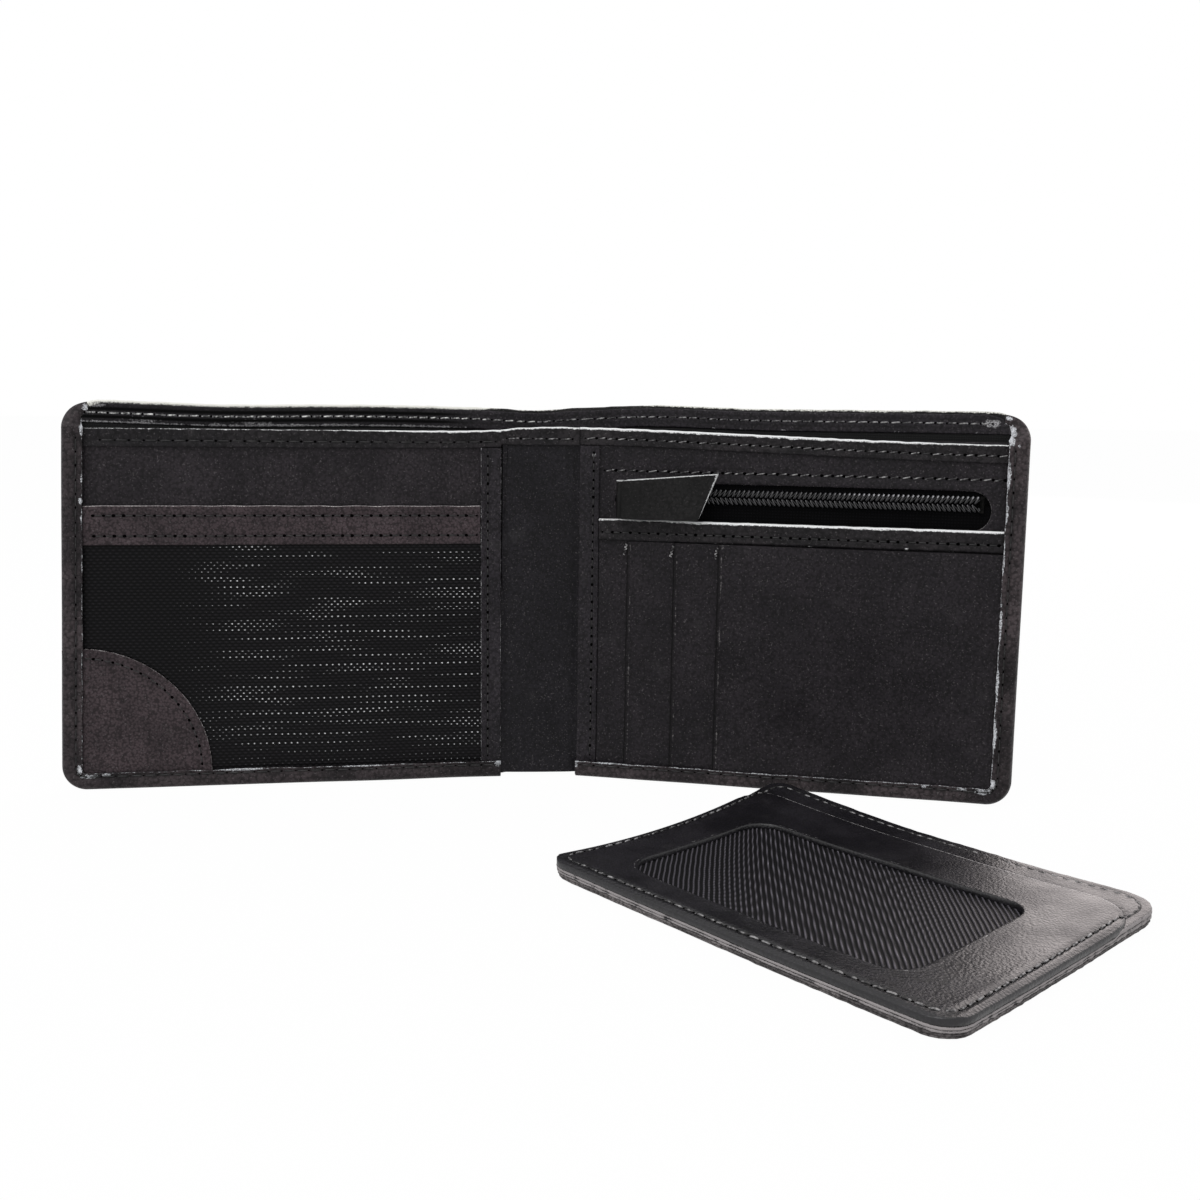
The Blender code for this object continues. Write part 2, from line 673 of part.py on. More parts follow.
def add_slider(wing, chain_start):
    """The zip slider: front and back plates joined by a post at the nose, side flanges and a bail."""
    layers, pivot = wing.layers, wing.pivot
    nose = chain_start + LAYER_GAP
    coil_front = layers["tape"] - LAYER_GAP - COIL_THICKNESS
    plate_back = coil_front - SLIDER_CLEARANCE
    plate_front = plate_back - SLIDER_PLATE
    tape_back = layers["tape"] + TAPE_THICKNESS
    half = SLIDER_WIDTH / 2
    nose_half = SLIDER_NOSE_WIDTH / 2
    shape = rounded((
        (nose, CHAIN_CENTRE - nose_half, nose_half / 2),
        (nose + SLIDER_LENGTH, CHAIN_CENTRE - half, nose_half / 2),
        (nose + SLIDER_LENGTH, CHAIN_CENTRE + half, nose_half / 2),
        (nose, CHAIN_CENTRE + nose_half, nose_half / 2),
    ))
    body = as_mesh(plate("zip_slider_body", (shape,), plate_front, SLIDER_PLATE, pivot, METAL))
    back_front = tape_back + LAYER_GAP
    post_start = nose + SLIDER_POST_INSET
    post_end = post_start + SLIDER_POST_LENGTH
    back_middle = back_front + SLIDER_BACK_PLATE / 2
    joined = []
    joined.append(as_mesh(plate("slider_back", (shape,), back_front, SLIDER_BACK_PLATE, pivot, METAL)))
    joined.append(box(
        "slider_post",
        (post_start, plate_back - SLIDER_PLATE / 2, CHAIN_CENTRE - SLIDER_POST / 2),
        (post_end, back_middle, CHAIN_CENTRE + SLIDER_POST / 2),
        pivot, METAL,
    ))
    inner = CHAIN_SPLIT / 2 + COIL_WIDTH + SLIDER_CLEARANCE
    for name, direction in (("slider_flange_upper", 1), ("slider_flange_lower", -1)):
        edges = sorted((
            CHAIN_CENTRE + direction * inner,
            CHAIN_CENTRE + direction * (inner + SLIDER_FLANGE),
        ))
        joined.append(box(
            name,
            (nose + SLIDER_POST_LENGTH, plate_back - SLIDER_PLATE / 2, edges[0]),
            (nose + SLIDER_LENGTH - SLIDER_POST_LENGTH / 2, layers["tape"] - LAYER_GAP, edges[1]),
            pivot, METAL,
        ))
    joined.append(add_bail(pivot, nose, plate_front))
    for other in joined:
        boolean(body, make_cutter(other), "UNION")
    finish_mesh_look(body, METAL)
    return nose


def add_bail(pivot, nose, plate_front):
    """The arch on the slider's front, with the eye that the pull's pin turns in."""
    eye = PULL_PIN_RADIUS + PULL_PIN_CLEARANCE
    outer = eye + BAIL_WALL
    centre_u = nose + PULL_PIN_FROM_NOSE
    points = [(centre_u - outer, plate_front + SLIDER_PLATE / 2)]
    for step in range(ARC_STEPS + 1):
        angle = math.radians(180) * (1 + step / ARC_STEPS)
        points.append((
            centre_u + outer * math.cos(angle),
            -PULL_PIN_LIFT + outer * math.sin(angle),
        ))
    points.append((nose + BAIL_LENGTH, plate_front))
    points.append((nose + BAIL_LENGTH, plate_front + SLIDER_PLATE / 2))
    hole = []
    for step in range(PIN_SIDES):
        angle = math.radians(360) * step / PIN_SIDES
        hole.append((centre_u + eye * math.cos(angle), -PULL_PIN_LIFT + eye * math.sin(angle)))
    low = CHAIN_CENTRE - BAIL_WIDTH / 2
    return as_mesh(plate("slider_bail", (points, hole), low, BAIL_WIDTH, pivot, METAL, flat=True))


def finish_mesh_look(thing, look):
    """Give a mesh object that came from a curve its material again."""
    thing.data.materials.clear()
    thing.data.materials.append(add_material(thing.name + "_material", look))


def add_pull(wing, nose):
    """The pull: a pin through the bail's eye and a leather strip folded round the pin."""
    centre_u = nose + PULL_PIN_FROM_NOSE
    hinge = add_empty("pull_pivot", (centre_u, -PULL_PIN_LIFT, 0.0), 0.0, wing.pivot)
    upright_pin(
        "zip_pull_pin", PULL_PIN_RADIUS, PULL_PIN_LENGTH, (0.0, 0.0, CHAIN_CENTRE), hinge, METAL,
    )
    inner = PULL_PIN_RADIUS + LAYER_GAP
    outer = inner + TAB_LAYER
    section = []
    for step in range(2 * ARC_STEPS + 1):
        angle = math.radians(90) + math.radians(180) * step / (2 * ARC_STEPS)
        section.append((outer * math.cos(angle), outer * math.sin(angle)))
    tab_end = TAB_LENGTH - outer
    section += [
        (TAB_CLOSE_AT, -TAB_LAYER),
        (tab_end, -TAB_LAYER),
        (tab_end, TAB_LAYER),
        (TAB_CLOSE_AT, TAB_LAYER),
    ]
    loop = []
    for step in range(2 * ARC_STEPS + 1):
        angle = math.radians(90) + math.radians(180) * step / (2 * ARC_STEPS)
        loop.append((inner * math.cos(angle), inner * math.sin(angle)))
    loop.append((TAB_CLOSE_AT - TAB_LAYER, 0.0))
    bottom = CHAIN_CENTRE - TAB_BELOW_CHAIN
    tallest = TAB_END_HEIGHT + CUT_OVERRUN
    tab = as_mesh(plate(
        "zip_pull_tab", (section, loop), bottom - CUT_OVERRUN / 2, tallest, hinge, LEATHER, flat=True,
    ))
    past = outer + CUT_OVERRUN
    face = (
        (-past, bottom),
        (tab_end - TAB_SLANT, bottom),
        (tab_end, bottom + TAB_END_HEIGHT),
        (-past, bottom + TAB_START_HEIGHT),
    )
    trim = as_mesh(plate("tab_face", (face,), -past, 2 * past, hinge, LEATHER))
    boolean(tab, make_cutter(trim), "INTERSECT")
    notch_half = BAIL_WIDTH / 2 + PULL_PIN_CLEARANCE
    notch_end = BAIL_LENGTH - PULL_PIN_FROM_NOSE + LAYER_GAP
    notch = box(
        "tab_notch",
        (-past, -past, CHAIN_CENTRE - notch_half),
        (notch_end, past, CHAIN_CENTRE + notch_half),
        hinge, LEATHER,
    )
    boolean(tab, make_cutter(notch), "DIFFERENCE")
    finish_mesh_look(tab, LEATHER)


def add_spine(parent):
    """The middle of the wallet between the two folds."""
    bottom = SPINE_CLEARANCE
    half = SPINE_WIDTH / 2 - FOLD_GAP
    panel_front = (LEFT_LAYERS["facing"] + RIGHT_LAYERS["pocket"]) / 2
    panel = ((-half, bottom), (half, bottom), (half, SPINE_DIVIDER_TOP), (-half, SPINE_DIVIDER_TOP))
    plate("spine_inner_panel", (panel,), panel_front, DIVIDER_THICKNESS, parent, LEATHER)
    lining_front = panel_front + DIVIDER_THICKNESS + LAYER_GAP
    lining_top = SPINE_DIVIDER_TOP - LAYER_GAP
    lining = ((-half, bottom), (half, bottom), (half, lining_top), (-half, lining_top))
    plate("spine_divider_lining", (lining,), lining_front, FABRIC_THICKNESS, parent, LINING)
    fold_bottom = SPINE_DIVIDER_TOP - SPINE_HEM_HEIGHT
    hem = (
        (-half, fold_bottom),
        (half, fold_bottom),
        (half, SPINE_DIVIDER_TOP),
        (-half, SPINE_DIVIDER_TOP),
    )
    hem_front = panel_front - LAYER_GAP - FACING_THICKNESS
    plate("spine_divider_hem", (hem,), hem_front, FACING_THICKNESS, parent, LEATHER)
    hem_bottom = HEIGHT - COVER_HEM_HEIGHT
    spine_sheet("spine_cover_leather", "cover", bottom, HEIGHT, COVER_THICKNESS, parent, LEATHER)
    spine_sheet(
        "spine_cover_lining", "cover_lining", bottom, hem_bottom - LAYER_GAP, FABRIC_THICKNESS,
        parent, LINING,
    )
    spine_sheet(
        "spine_cover_turned_edge", "cover_lining", hem_bottom, HEIGHT, FABRIC_THICKNESS, parent, LEATHER,
    )


def holder_outline(inset, mouth=0.0):
    """The card holder's outline, drawn in by inset; mouth takes that much off its far long side."""
    a = HOLDER_LENGTH / 2 - inset
    low = -HOLDER_WIDTH / 2 + inset
    high = HOLDER_WIDTH / 2 - (mouth if mouth else inset)
    far_radius = HOLDER_MOUTH_RADIUS if mouth else HOLDER_CORNER_RADIUS - inset
    near_radius = HOLDER_CORNER_RADIUS - inset
    return rounded((
        (-a, low, near_radius),
        (a, low, near_radius),
        (a, high, far_radius),
        (-a, high, far_radius),
    ))


def window_outline(margin):
    """The outline of the card holder's window, widened by margin on every side."""
    half = HOLDER_LENGTH / 2 - WINDOW_SIDE_MARGIN + margin
    low = -HOLDER_WIDTH / 2 + WINDOW_FRONT_MARGIN - margin
    high = HOLDER_WIDTH / 2 - HOLDER_MOUTH - WINDOW_TO_MOUTH + margin
    return rounded((
        (-half, low, WINDOW_RADIUS),
        (half, low, WINDOW_RADIUS),
        (half, high, WINDOW_RADIUS),
        (-half, high, WINDOW_RADIUS),
    ))


def add_card_holder(parent):
    """The loose holder: back, inner sheets and a front with a window, over a ribbed fabric."""
    turn = math.radians(HOLDER_TURN_DEG)
    corner_back = HOLDER_LENGTH / 2 * math.sin(-turn) + HOLDER_WIDTH / 2 * math.cos(turn)
    in_front = HOLDER_CORNER_TO_SPINE + corner_back
    rest = add_empty("card_holder_rest", (HOLDER_RIGHT_OF_SPINE, -in_front, 0.0), turn, parent)
    whole = holder_outline(0.0)
    height = 0.0
    plate("holder_back_leather", (whole,), height, HOLDER_LEATHER, rest, LEATHER, flat=True)
    height += HOLDER_LEATHER + LAYER_GAP
    plate(
        "holder_inner_lining", (holder_outline(HOLDER_SHEET_INSET),), height, HOLDER_INNER,
        rest, LINING, flat=True,
    )
    height += HOLDER_INNER + LAYER_GAP
    plate("holder_pocket_leather", (whole,), height, HOLDER_LEATHER, rest, LEATHER, flat=True)
    height += HOLDER_LEATHER + LAYER_GAP
    fabric = window_outline(WINDOW_FABRIC_MARGIN)
    plate("holder_window_fabric", (fabric,), height, HOLDER_WINDOW_FABRIC, rest, TWILL, flat=True)
    height += HOLDER_WINDOW_FABRIC + LAYER_GAP
    plate(
        "holder_front_frame", (holder_outline(0.0, HOLDER_MOUTH), window_outline(0.0)), height,
        HOLDER_LEATHER, rest, LEATHER, flat=True,
    )


def centre_over_floor(root):
    """Move everything so that the origin is the middle of the object's footprint, on the floor."""
    bpy.context.view_layer.update()
    graph = bpy.context.evaluated_depsgraph_get()
    spots = []
    for thing in PARTS.objects:
        if thing.type == "EMPTY":
            continue
        shown = thing.evaluated_get(graph)
        mesh = shown.to_mesh()
        spots += [shown.matrix_world @ vert.co for vert in mesh.vertices]
        shown.to_mesh_clear()
    xs = [spot.x for spot in spots]
    ys = [spot.y for spot in spots]
    root.location = (-(min(xs) + max(xs)) / 2, -(min(ys) + max(ys)) / 2, 0.0)
    bpy.context.view_layer.update()


clear_scene()
PARTS = add_collection("bifold_wallet")
CUTTERS = add_collection("cutters")
root = add_empty("wallet_place", (0.0, 0.0, 0.0), 0.0, None)
right = Wing("right", 1, RIGHT_LENGTH, RIGHT_TAPER, RIGHT_OPEN_DEG, RIGHT_LAYERS, RIGHT_DEPTH, root)
left = Wing("left", -1, LEFT_LENGTH, LEFT_TAPER, LEFT_OPEN_DEG, LEFT_LAYERS, LEFT_DEPTH, root)
for each_wing in (right, left):
    add_cover(each_wing)
    add_binding(each_wing)
    add_divider(each_wing)
add_left_pockets(left)
add_right_pockets(right)
chain_begin = add_zip(right)
slider_nose = add_slider(right, chain_begin)
add_pull(right, slider_nose)
add_spine(root)
add_card_holder(root)
centre_over_floor(root)
for marker in [thing for thing in PARTS.objects if thing.type == "EMPTY"]:
    print(marker.name, [round(value, 6) for value in marker.matrix_world.translation])
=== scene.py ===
# %% [markdown]
# # An open bifold wallet and its loose card holder
# The wallet stands in a shallow V on its bound lower edges. Every leather and cloth piece is worked out
# here as a thin closed sheet with rounded rims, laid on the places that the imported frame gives. The metal
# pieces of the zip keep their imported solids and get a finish.

# %% Load the frame
import json
import math
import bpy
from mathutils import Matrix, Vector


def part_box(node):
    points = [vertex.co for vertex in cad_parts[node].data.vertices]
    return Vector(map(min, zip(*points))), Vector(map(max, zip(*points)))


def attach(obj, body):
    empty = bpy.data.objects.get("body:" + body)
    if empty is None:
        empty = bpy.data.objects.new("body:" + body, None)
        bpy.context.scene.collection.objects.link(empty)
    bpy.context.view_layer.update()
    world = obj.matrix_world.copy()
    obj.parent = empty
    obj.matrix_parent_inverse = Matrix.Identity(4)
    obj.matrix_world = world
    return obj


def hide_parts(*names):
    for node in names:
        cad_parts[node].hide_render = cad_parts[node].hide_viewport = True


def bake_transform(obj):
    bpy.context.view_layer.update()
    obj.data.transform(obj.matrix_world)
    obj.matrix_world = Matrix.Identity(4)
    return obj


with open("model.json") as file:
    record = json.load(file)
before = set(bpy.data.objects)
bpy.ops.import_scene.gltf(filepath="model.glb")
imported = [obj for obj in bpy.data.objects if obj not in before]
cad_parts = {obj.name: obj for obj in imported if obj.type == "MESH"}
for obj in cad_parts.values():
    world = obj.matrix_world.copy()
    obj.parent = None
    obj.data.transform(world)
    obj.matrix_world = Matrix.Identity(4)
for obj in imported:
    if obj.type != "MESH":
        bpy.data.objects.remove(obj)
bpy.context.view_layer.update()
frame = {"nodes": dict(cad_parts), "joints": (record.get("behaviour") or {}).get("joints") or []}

from types import SimpleNamespace

import bpy
import numpy as np
from mathutils import Matrix, Vector

MM = 0.001
joints = {joint["name"]: joint for joint in frame["joints"]}

# %% [markdown]
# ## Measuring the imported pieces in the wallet's own directions
# Each wing is a flat stack of sheets turned about its fold, so sizes are easy to say along the wing: u runs
# from the fold outwards, depth from the front of the edge binding to the back, and v up. The joints give
# the folds and how far each wing is from flat. The solids' own points then give every sheet's span, so no
# size has to be written twice.


# %% Wing frames and spans
def points_of(node):
    """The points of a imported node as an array, one row each."""
    mesh = frame["nodes"][node].data
    flat = np.empty(len(mesh.vertices) * 3, np.float32)
    mesh.vertices.foreach_get("co", flat)
    return flat.reshape(-1, 3).astype(float)


def wing_coordinates(wing, points):
    """u, depth and v of points: their offset from the fold, measured along the wing's own directions."""
    offset = points - wing.fold
    return wing.side * offset @ wing.x, offset @ wing.y, offset[:, 2]


def wing_frame(name, joint_name, side, pinch):
    """A wing: its fold, its two level directions, its length and depth, and how its outer edge leans."""
    joint = joints[joint_name]
    turn = -side * math.radians(abs(joint["range_deg"][0]))
    wing = SimpleNamespace(
        name=name, body=f"{name}_wing", side=side, turn=turn, fold=np.array(joint["pos_m"]), pinch=pinch,
    )
    wing.x = np.array((math.cos(turn), math.sin(turn), 0.0))
    wing.y = np.array((-math.sin(turn), math.cos(turn), 0.0))
    u, depth, v = wing_coordinates(wing, points_of(f"{name}_edge_binding"))
    widest = np.argmax(u)
    top_u = u[v > v.max() - 0.1 * MM].max()
    wing.lean = (u[widest] - top_u) / (v.max() - v[widest])
    wing.length = u[widest] + wing.lean * v[widest]
    wing.depth = depth.max()
    return wing


def span(node, wing):
    """The least and greatest u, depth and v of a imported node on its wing, and its thickness."""
    u, depth, v = wing_coordinates(wing, points_of(node))
    d0, d1 = depth.min(), depth.max()
    return SimpleNamespace(u0=u.min(), u1=u.max(), d0=d0, d1=d1, v0=v.min(), v1=v.max(), thick=d1 - d0)


right = wing_frame("right", "spine_fold", 1, 0.30)
left = wing_frame("left", "left_fold", -1, 0.12)
middle = (right.fold + left.fold) / 2
HALF = (right.fold[0] - left.fold[0]) / 2
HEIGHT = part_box("left_cover_leather")[1].z
for wing in (right, left):
    size = f"{wing.length / MM:.1f} mm long, {wing.depth / MM:.2f} mm deep"
    print(f"{wing.name} wing: {size}, turned {math.degrees(wing.turn):.2f} degrees")

# %% [markdown]
# ## One layout for the whole wallet
# The wallet is easiest to draw unfolded: x across both wings, depth back and v up. A single function then
# folds the layout. Pieces that cross a fold turn gradually over a few millimetres, as leather does, and
# pieces of one wing turn at once. The stack is thinner along its sewn edges, so depths are pinched there,
# and one slow ripple moves all layers together so that they never cut each other.

# %% Fold and settle the layout
EASE = 2.6 * MM
PINCH_REACH = 14 * MM
FOLD_REACH = 9 * MM
RIPPLE = 0.16 * MM
BILL_OPENING = 7.0 * MM
SPINE_BOW = 1.0 * MM
ZIP_HEIGHT = 73 * MM
SHEET_INSET = 0.75 * MM
EDGE_REACH = 3 * MM
BINDING_HEIGHT = 4.4 * MM
BINDING_WIDTH = 5.0 * MM


def smooth(t):
    """0 below 0, 1 above 1, and an S-shaped step between: 3 t squared less 2 t cubed."""
    t = np.clip(t, 0, 1)
    return t * t * (3 - 2 * t)


def ramp(x, start, over):
    """The S-shaped step from 0 at start mm to 1 at over mm further on."""
    return smooth((x - start * MM) / (over * MM))


def waves(x, y, length, seed, count=5):
    """Slow unevenness from -1 to 1: the mean of a few sine waves with seeded directions and phases."""
    draw = np.random.default_rng(seed)
    total = np.zeros(np.broadcast(x, y).shape)
    for _ in range(count):
        heading = draw.uniform(0, 2 * math.pi)
        wave = length * draw.uniform(0.6, 1.6)
        phase = draw.uniform(0, 2 * math.pi)
        total += np.sin(2 * math.pi * (x * math.cos(heading) + y * math.sin(heading)) / wave + phase)
    return total / math.sqrt(count)


def settle(wing, u, depth, v):
    """Depth on a wing, pinched near its sewn edges: depth times 1 less the wing's pinch at the edge."""
    outer = wing.length - wing.lean * v - u
    inside = (
        (1 - smooth(1 - v / PINCH_REACH))
        * (1 - smooth(1 - outer / PINCH_REACH))
        * (1 - smooth(1 - u / FOLD_REACH))
    )
    return depth * (1 - wing.pinch * (1 - inside))


def ripple(x, v):
    """The shared ripple of all layers, which is still where the zip runs."""
    near_zip = ramp(x - HALF, 0, 8) * smooth(1 - np.abs(v - ZIP_HEIGHT) / (10 * MM))
    return RIPPLE * waves(x, v, 40 * MM, 3) * (1 - near_zip)


def fold(x, depth, v, ease=0.0):
    """World points of the layout: what lies past a fold turns about it by the wing's angle."""
    x, depth, v = np.broadcast_arrays(x, depth + ripple(x, v), v)
    points = np.stack([middle[0] + x, middle[1] + depth, v], axis=-1)
    for wing in (right, left):
        past = wing.side * x - HALF
        share = smooth((past + ease) / (2 * ease)) if ease else (past > 0).astype(float)
        angle = wing.turn * share
        offset = points - wing.fold
        cos, sin = np.cos(angle), np.sin(angle)
        turned = np.stack([
            offset[..., 0] * cos - offset[..., 1] * sin,
            offset[..., 0] * sin + offset[..., 1] * cos,
            offset[..., 2],
        ], axis=-1)
        points = wing.fold + turned
    return points


def on_wing(wing, u, depth, v):
    """World points on one wing, with the pinch along its edges."""
    return fold(wing.side * (HALF + u), settle(wing, u, depth, v), v)


def bow(x, v):
    """How far the cover stands off at x, v: greatest at the top of the spine, none at the bindings."""
    up = np.clip((v - BINDING_HEIGHT) / (HEIGHT - BINDING_HEIGHT), 0, 1) ** 1.5
    total = np.zeros(np.broadcast(x, v).shape)
    for wing in (right, left):
        reach = wing.length - wing.lean * HEIGHT - BINDING_WIDTH
        out = np.clip((wing.side * x - HALF) / reach, 0, 1)
        total = np.where(wing.side * x >= 0, (1 - out**2) ** 2, total)
    across = np.clip(np.abs(x) / HALF, 0, 1)
    return BILL_OPENING * total * up + SPINE_BOW * (1 - across**2)


def through(x, v, left_depth, right_depth, opening=1.0):
    """Depth of a sheet that crosses the whole wallet: each wing's own depth, mixed over the spine."""
    on_right = settle(right, np.maximum(x - HALF, 0), right_depth, v)
    on_left = settle(left, np.maximum(-x - HALF, 0), left_depth, v)
    share = smooth((x + HALF) / (2 * HALF))
    return on_left * (1 - share) + on_right * share + opening * bow(x, v)


print("spine half width:", round(HALF / MM, 2), "mm; height:", round(HEIGHT / MM, 1), "mm")

# %% [markdown]
# ## From arrays to meshes
# Every new piece is a grid of points: a closed loop round the sheet, carried along a path. The loop closes
# the sheet's two faces with round rims, which are what catches the light on real leather edges. Each point
# keeps how near it is to a worn edge, which also places painted highlights, and how much painted shade it
# takes in grooves, creases and along edges, for the materials, and a UV in metres, for the weaves.


# %% Mesh helpers
def unit(vectors):
    """The vectors, each divided by its length."""
    return vectors / np.linalg.norm(vectors, axis=-1, keepdims=True)


def faces_around(here, ahead):
    """Faces between two rings of points: two neighbours on the one, then the same two on the other."""
    return np.stack([here, np.roll(here, -1, axis=-1), np.roll(ahead, -1, axis=-1), ahead], axis=-1)


def build_mesh(name, points, loops, sizes):
    """A smooth object from points, the corners of all faces in one row, and each face's corner count."""
    mesh = bpy.data.meshes.new(name)
    mesh.vertices.add(points.size // 3)
    mesh.vertices.foreach_set("co", points.reshape(-1).astype(np.float32))
    mesh.loops.add(len(loops))
    mesh.loops.foreach_set("vertex_index", loops.astype(np.int32))
    mesh.polygons.add(len(sizes))
    mesh.polygons.foreach_set("loop_start", (np.cumsum(sizes) - sizes).astype(np.int32))
    mesh.update(calc_edges=True)
    mesh.validate()
    mesh.polygons.foreach_set("use_smooth", np.ones(len(sizes), bool))
    thing = bpy.data.objects.new(name, mesh)
    bpy.context.scene.collection.objects.link(thing)
    return thing


def turn_outwards(mesh):
    """Flip a closed mesh whose signed volume, the sum of its fans' triple products, is negative."""
    mesh.calc_loop_triangles()
    corners = np.empty(len(mesh.loop_triangles) * 3, np.int32)
    mesh.loop_triangles.foreach_get("vertices", corners)
    places = np.empty(len(mesh.vertices) * 3, np.float32)
    mesh.vertices.foreach_get("co", places)
    places = places.reshape(-1, 3).astype(float)
    a, b, c = (places[corners.reshape(-1, 3)[:, k]] for k in range(3))
    if np.einsum("ij,ij->", a, np.cross(b, c)) < 0:
        mesh.flip_normals()


def grid_mesh(name, points, wrap_rows=False, wrap_columns=True, edge=None, uv=None, shade=None):
    """A mesh object from a grid of points. Wrapped directions close on themselves; caps shut open ends."""
    rows, columns = points.shape[:2]
    index = np.arange(rows * columns).reshape(rows, columns)
    here = index if wrap_rows else index[:-1]
    ahead = np.roll(index, -1, axis=0) if wrap_rows else index[1:]
    corners = faces_around(here, ahead)
    if not wrap_columns:
        corners = corners[:, :-1]
    rims = []
    if wrap_rows != wrap_columns:
        rims = [index[:, 0], index[::-1, -1]] if wrap_rows else [index[0][::-1], index[-1]]
    loops = np.concatenate([corners.reshape(-1), *rims])
    sizes = np.array([4] * (corners.size // 4) + [len(rim) for rim in rims])
    thing = build_mesh(name, points, loops, sizes)
    mesh = thing.data
    # edge holds wear and painted highlights; shade holds painted shade.
    for label, value in (("edge", edge), ("shade", shade)):
        if value is not None:
            values = np.broadcast_to(value, (rows, columns)).reshape(-1).astype(np.float32)
            mesh.attributes.new(label, "FLOAT", "POINT").data.foreach_set("value", values)
    if uv is not None:
        spots = np.broadcast_to(uv, (rows, columns, 2)).reshape(-1, 2)
        layer = mesh.uv_layers.new(name="flat")
        layer.data.foreach_set("uv", spots[loops].reshape(-1).astype(np.float32))
    if rims:
        on_rim = np.zeros(rows * columns, int)
        for number, rim in enumerate(rims, start=1):
            on_rim[rim] = number
        ends = np.empty(len(mesh.edges) * 2, np.int32)
        mesh.edges.foreach_get("vertices", ends)
        ends = on_rim[ends.reshape(-1, 2)]
        sharp = mesh.attributes.new("sharp_edge", "BOOLEAN", "EDGE")
        sharp.data.foreach_set("value", (ends[:, 0] == ends[:, 1]) & (ends[:, 0] > 0))
    turn_outwards(mesh)
    return thing


def many_tubes(name, tubes):
    """One mesh of many short closed tubes. tubes holds, for each, rings of points."""
    index = np.arange(tubes.size // 3).reshape(tubes.shape[:3])
    corners = faces_around(index[:, :-1], index[:, 1:]).reshape(-1)
    ends = np.concatenate([index[:, 0, ::-1], index[:, -1]])
    sizes = np.array([4] * (len(corners) // 4) + [ends.shape[1]] * len(ends))
    thing = build_mesh(name, tubes, np.concatenate([corners, ends.reshape(-1)]), sizes)
    turn_outwards(thing.data)
    return thing


RIM_ANGLES = np.radians([-45, 0, 45])
NEAR_RIM = np.array([0.0, 0.16, 0.4, 0.7]) * MM


def thin_loop(low, high, thick, steps, back_steps=6):
    """A closed loop round a sheet: front from low to high, a round rim, the back, and a round rim.

    low, high and thick hold one value for each place along the path. The front has extra points near its
    ends. Returns the position across, the depth from the front, and the distance to the nearer end.
    """
    low, high, thick = (np.atleast_1d(np.asarray(value, float))[:, None] for value in (low, high, thick))
    radius = np.minimum(thick / 2, (high - low) / 2.2)

    def face(count):
        """Places on one face: extra ones near both its ends, and even steps between."""
        reach = high - low - 2 * radius
        step = np.minimum(NEAR_RIM, reach * 0.3)
        even = (np.arange(count) + 0.5) / count
        mid = step[:, -1:] + (reach - 2 * step[:, -1:]) * even
        return low + radius + np.concatenate([step, mid, reach - step[:, ::-1]], axis=1)

    front = face(steps)
    back = face(back_steps)[:, ::-1]
    upper = high - radius + radius * np.cos(RIM_ANGLES)
    lower = low + radius - radius * np.cos(RIM_ANGLES)
    across = np.concatenate([front, upper, back, lower], axis=1)
    rise = thick / 2 * (1 + np.sin(RIM_ANGLES))
    drop = np.concatenate([
        np.zeros_like(front), rise + np.zeros_like(upper), thick + np.zeros_like(back),
        rise[:, ::-1] + np.zeros_like(lower),
    ], axis=1)
    return across, drop, across - low, high - across


def steps_between(start, stop, spacing):
    """Evenly spaced values from start to stop, about spacing apart."""
    count = max(2, int(round(abs(stop - start) / spacing)) + 1)
    return np.linspace(start, stop, count)


def near_edge(distance, fade=0.5 * MM, strength=1.0):
    """Wear: strength at the edge, times e to the power of minus distance over fade."""
    return strength * np.exp(-np.maximum(distance, 0) / fade)


def bell(x, width):
    """A soft bump of height 1: e to the power of minus x over width, squared."""
    return np.exp(-((x / width) ** 2))


# Rubbed places of the layout in mm: x, v, half width, half height, and strength.
RUBBED = np.array([
    (-106.0, 93.6, 5.0, 1.3, 1.00), (-94.0, 90.3, 12.0, 1.3, 0.92), (-70.0, 89.9, 14.0, 1.2, 0.88),
    (-12.2, 81.2, 1.2, 1.2, 0.95), (13.0, 83.0, 1.0, 1.4, 0.92), (108.5, 92.2, 4.0, 1.8, 1.06),
    (45.0, 61.7, 6.0, 0.5, 1.02), (66.0, 61.8, 8.0, 0.4, 0.90), (90.0, 61.9, 1.2, 0.7, 1.05),
    (101.0, 61.9, 4.0, 0.5, 0.96), (96.0, 92.1, 12.0, 0.6, 0.90),
])
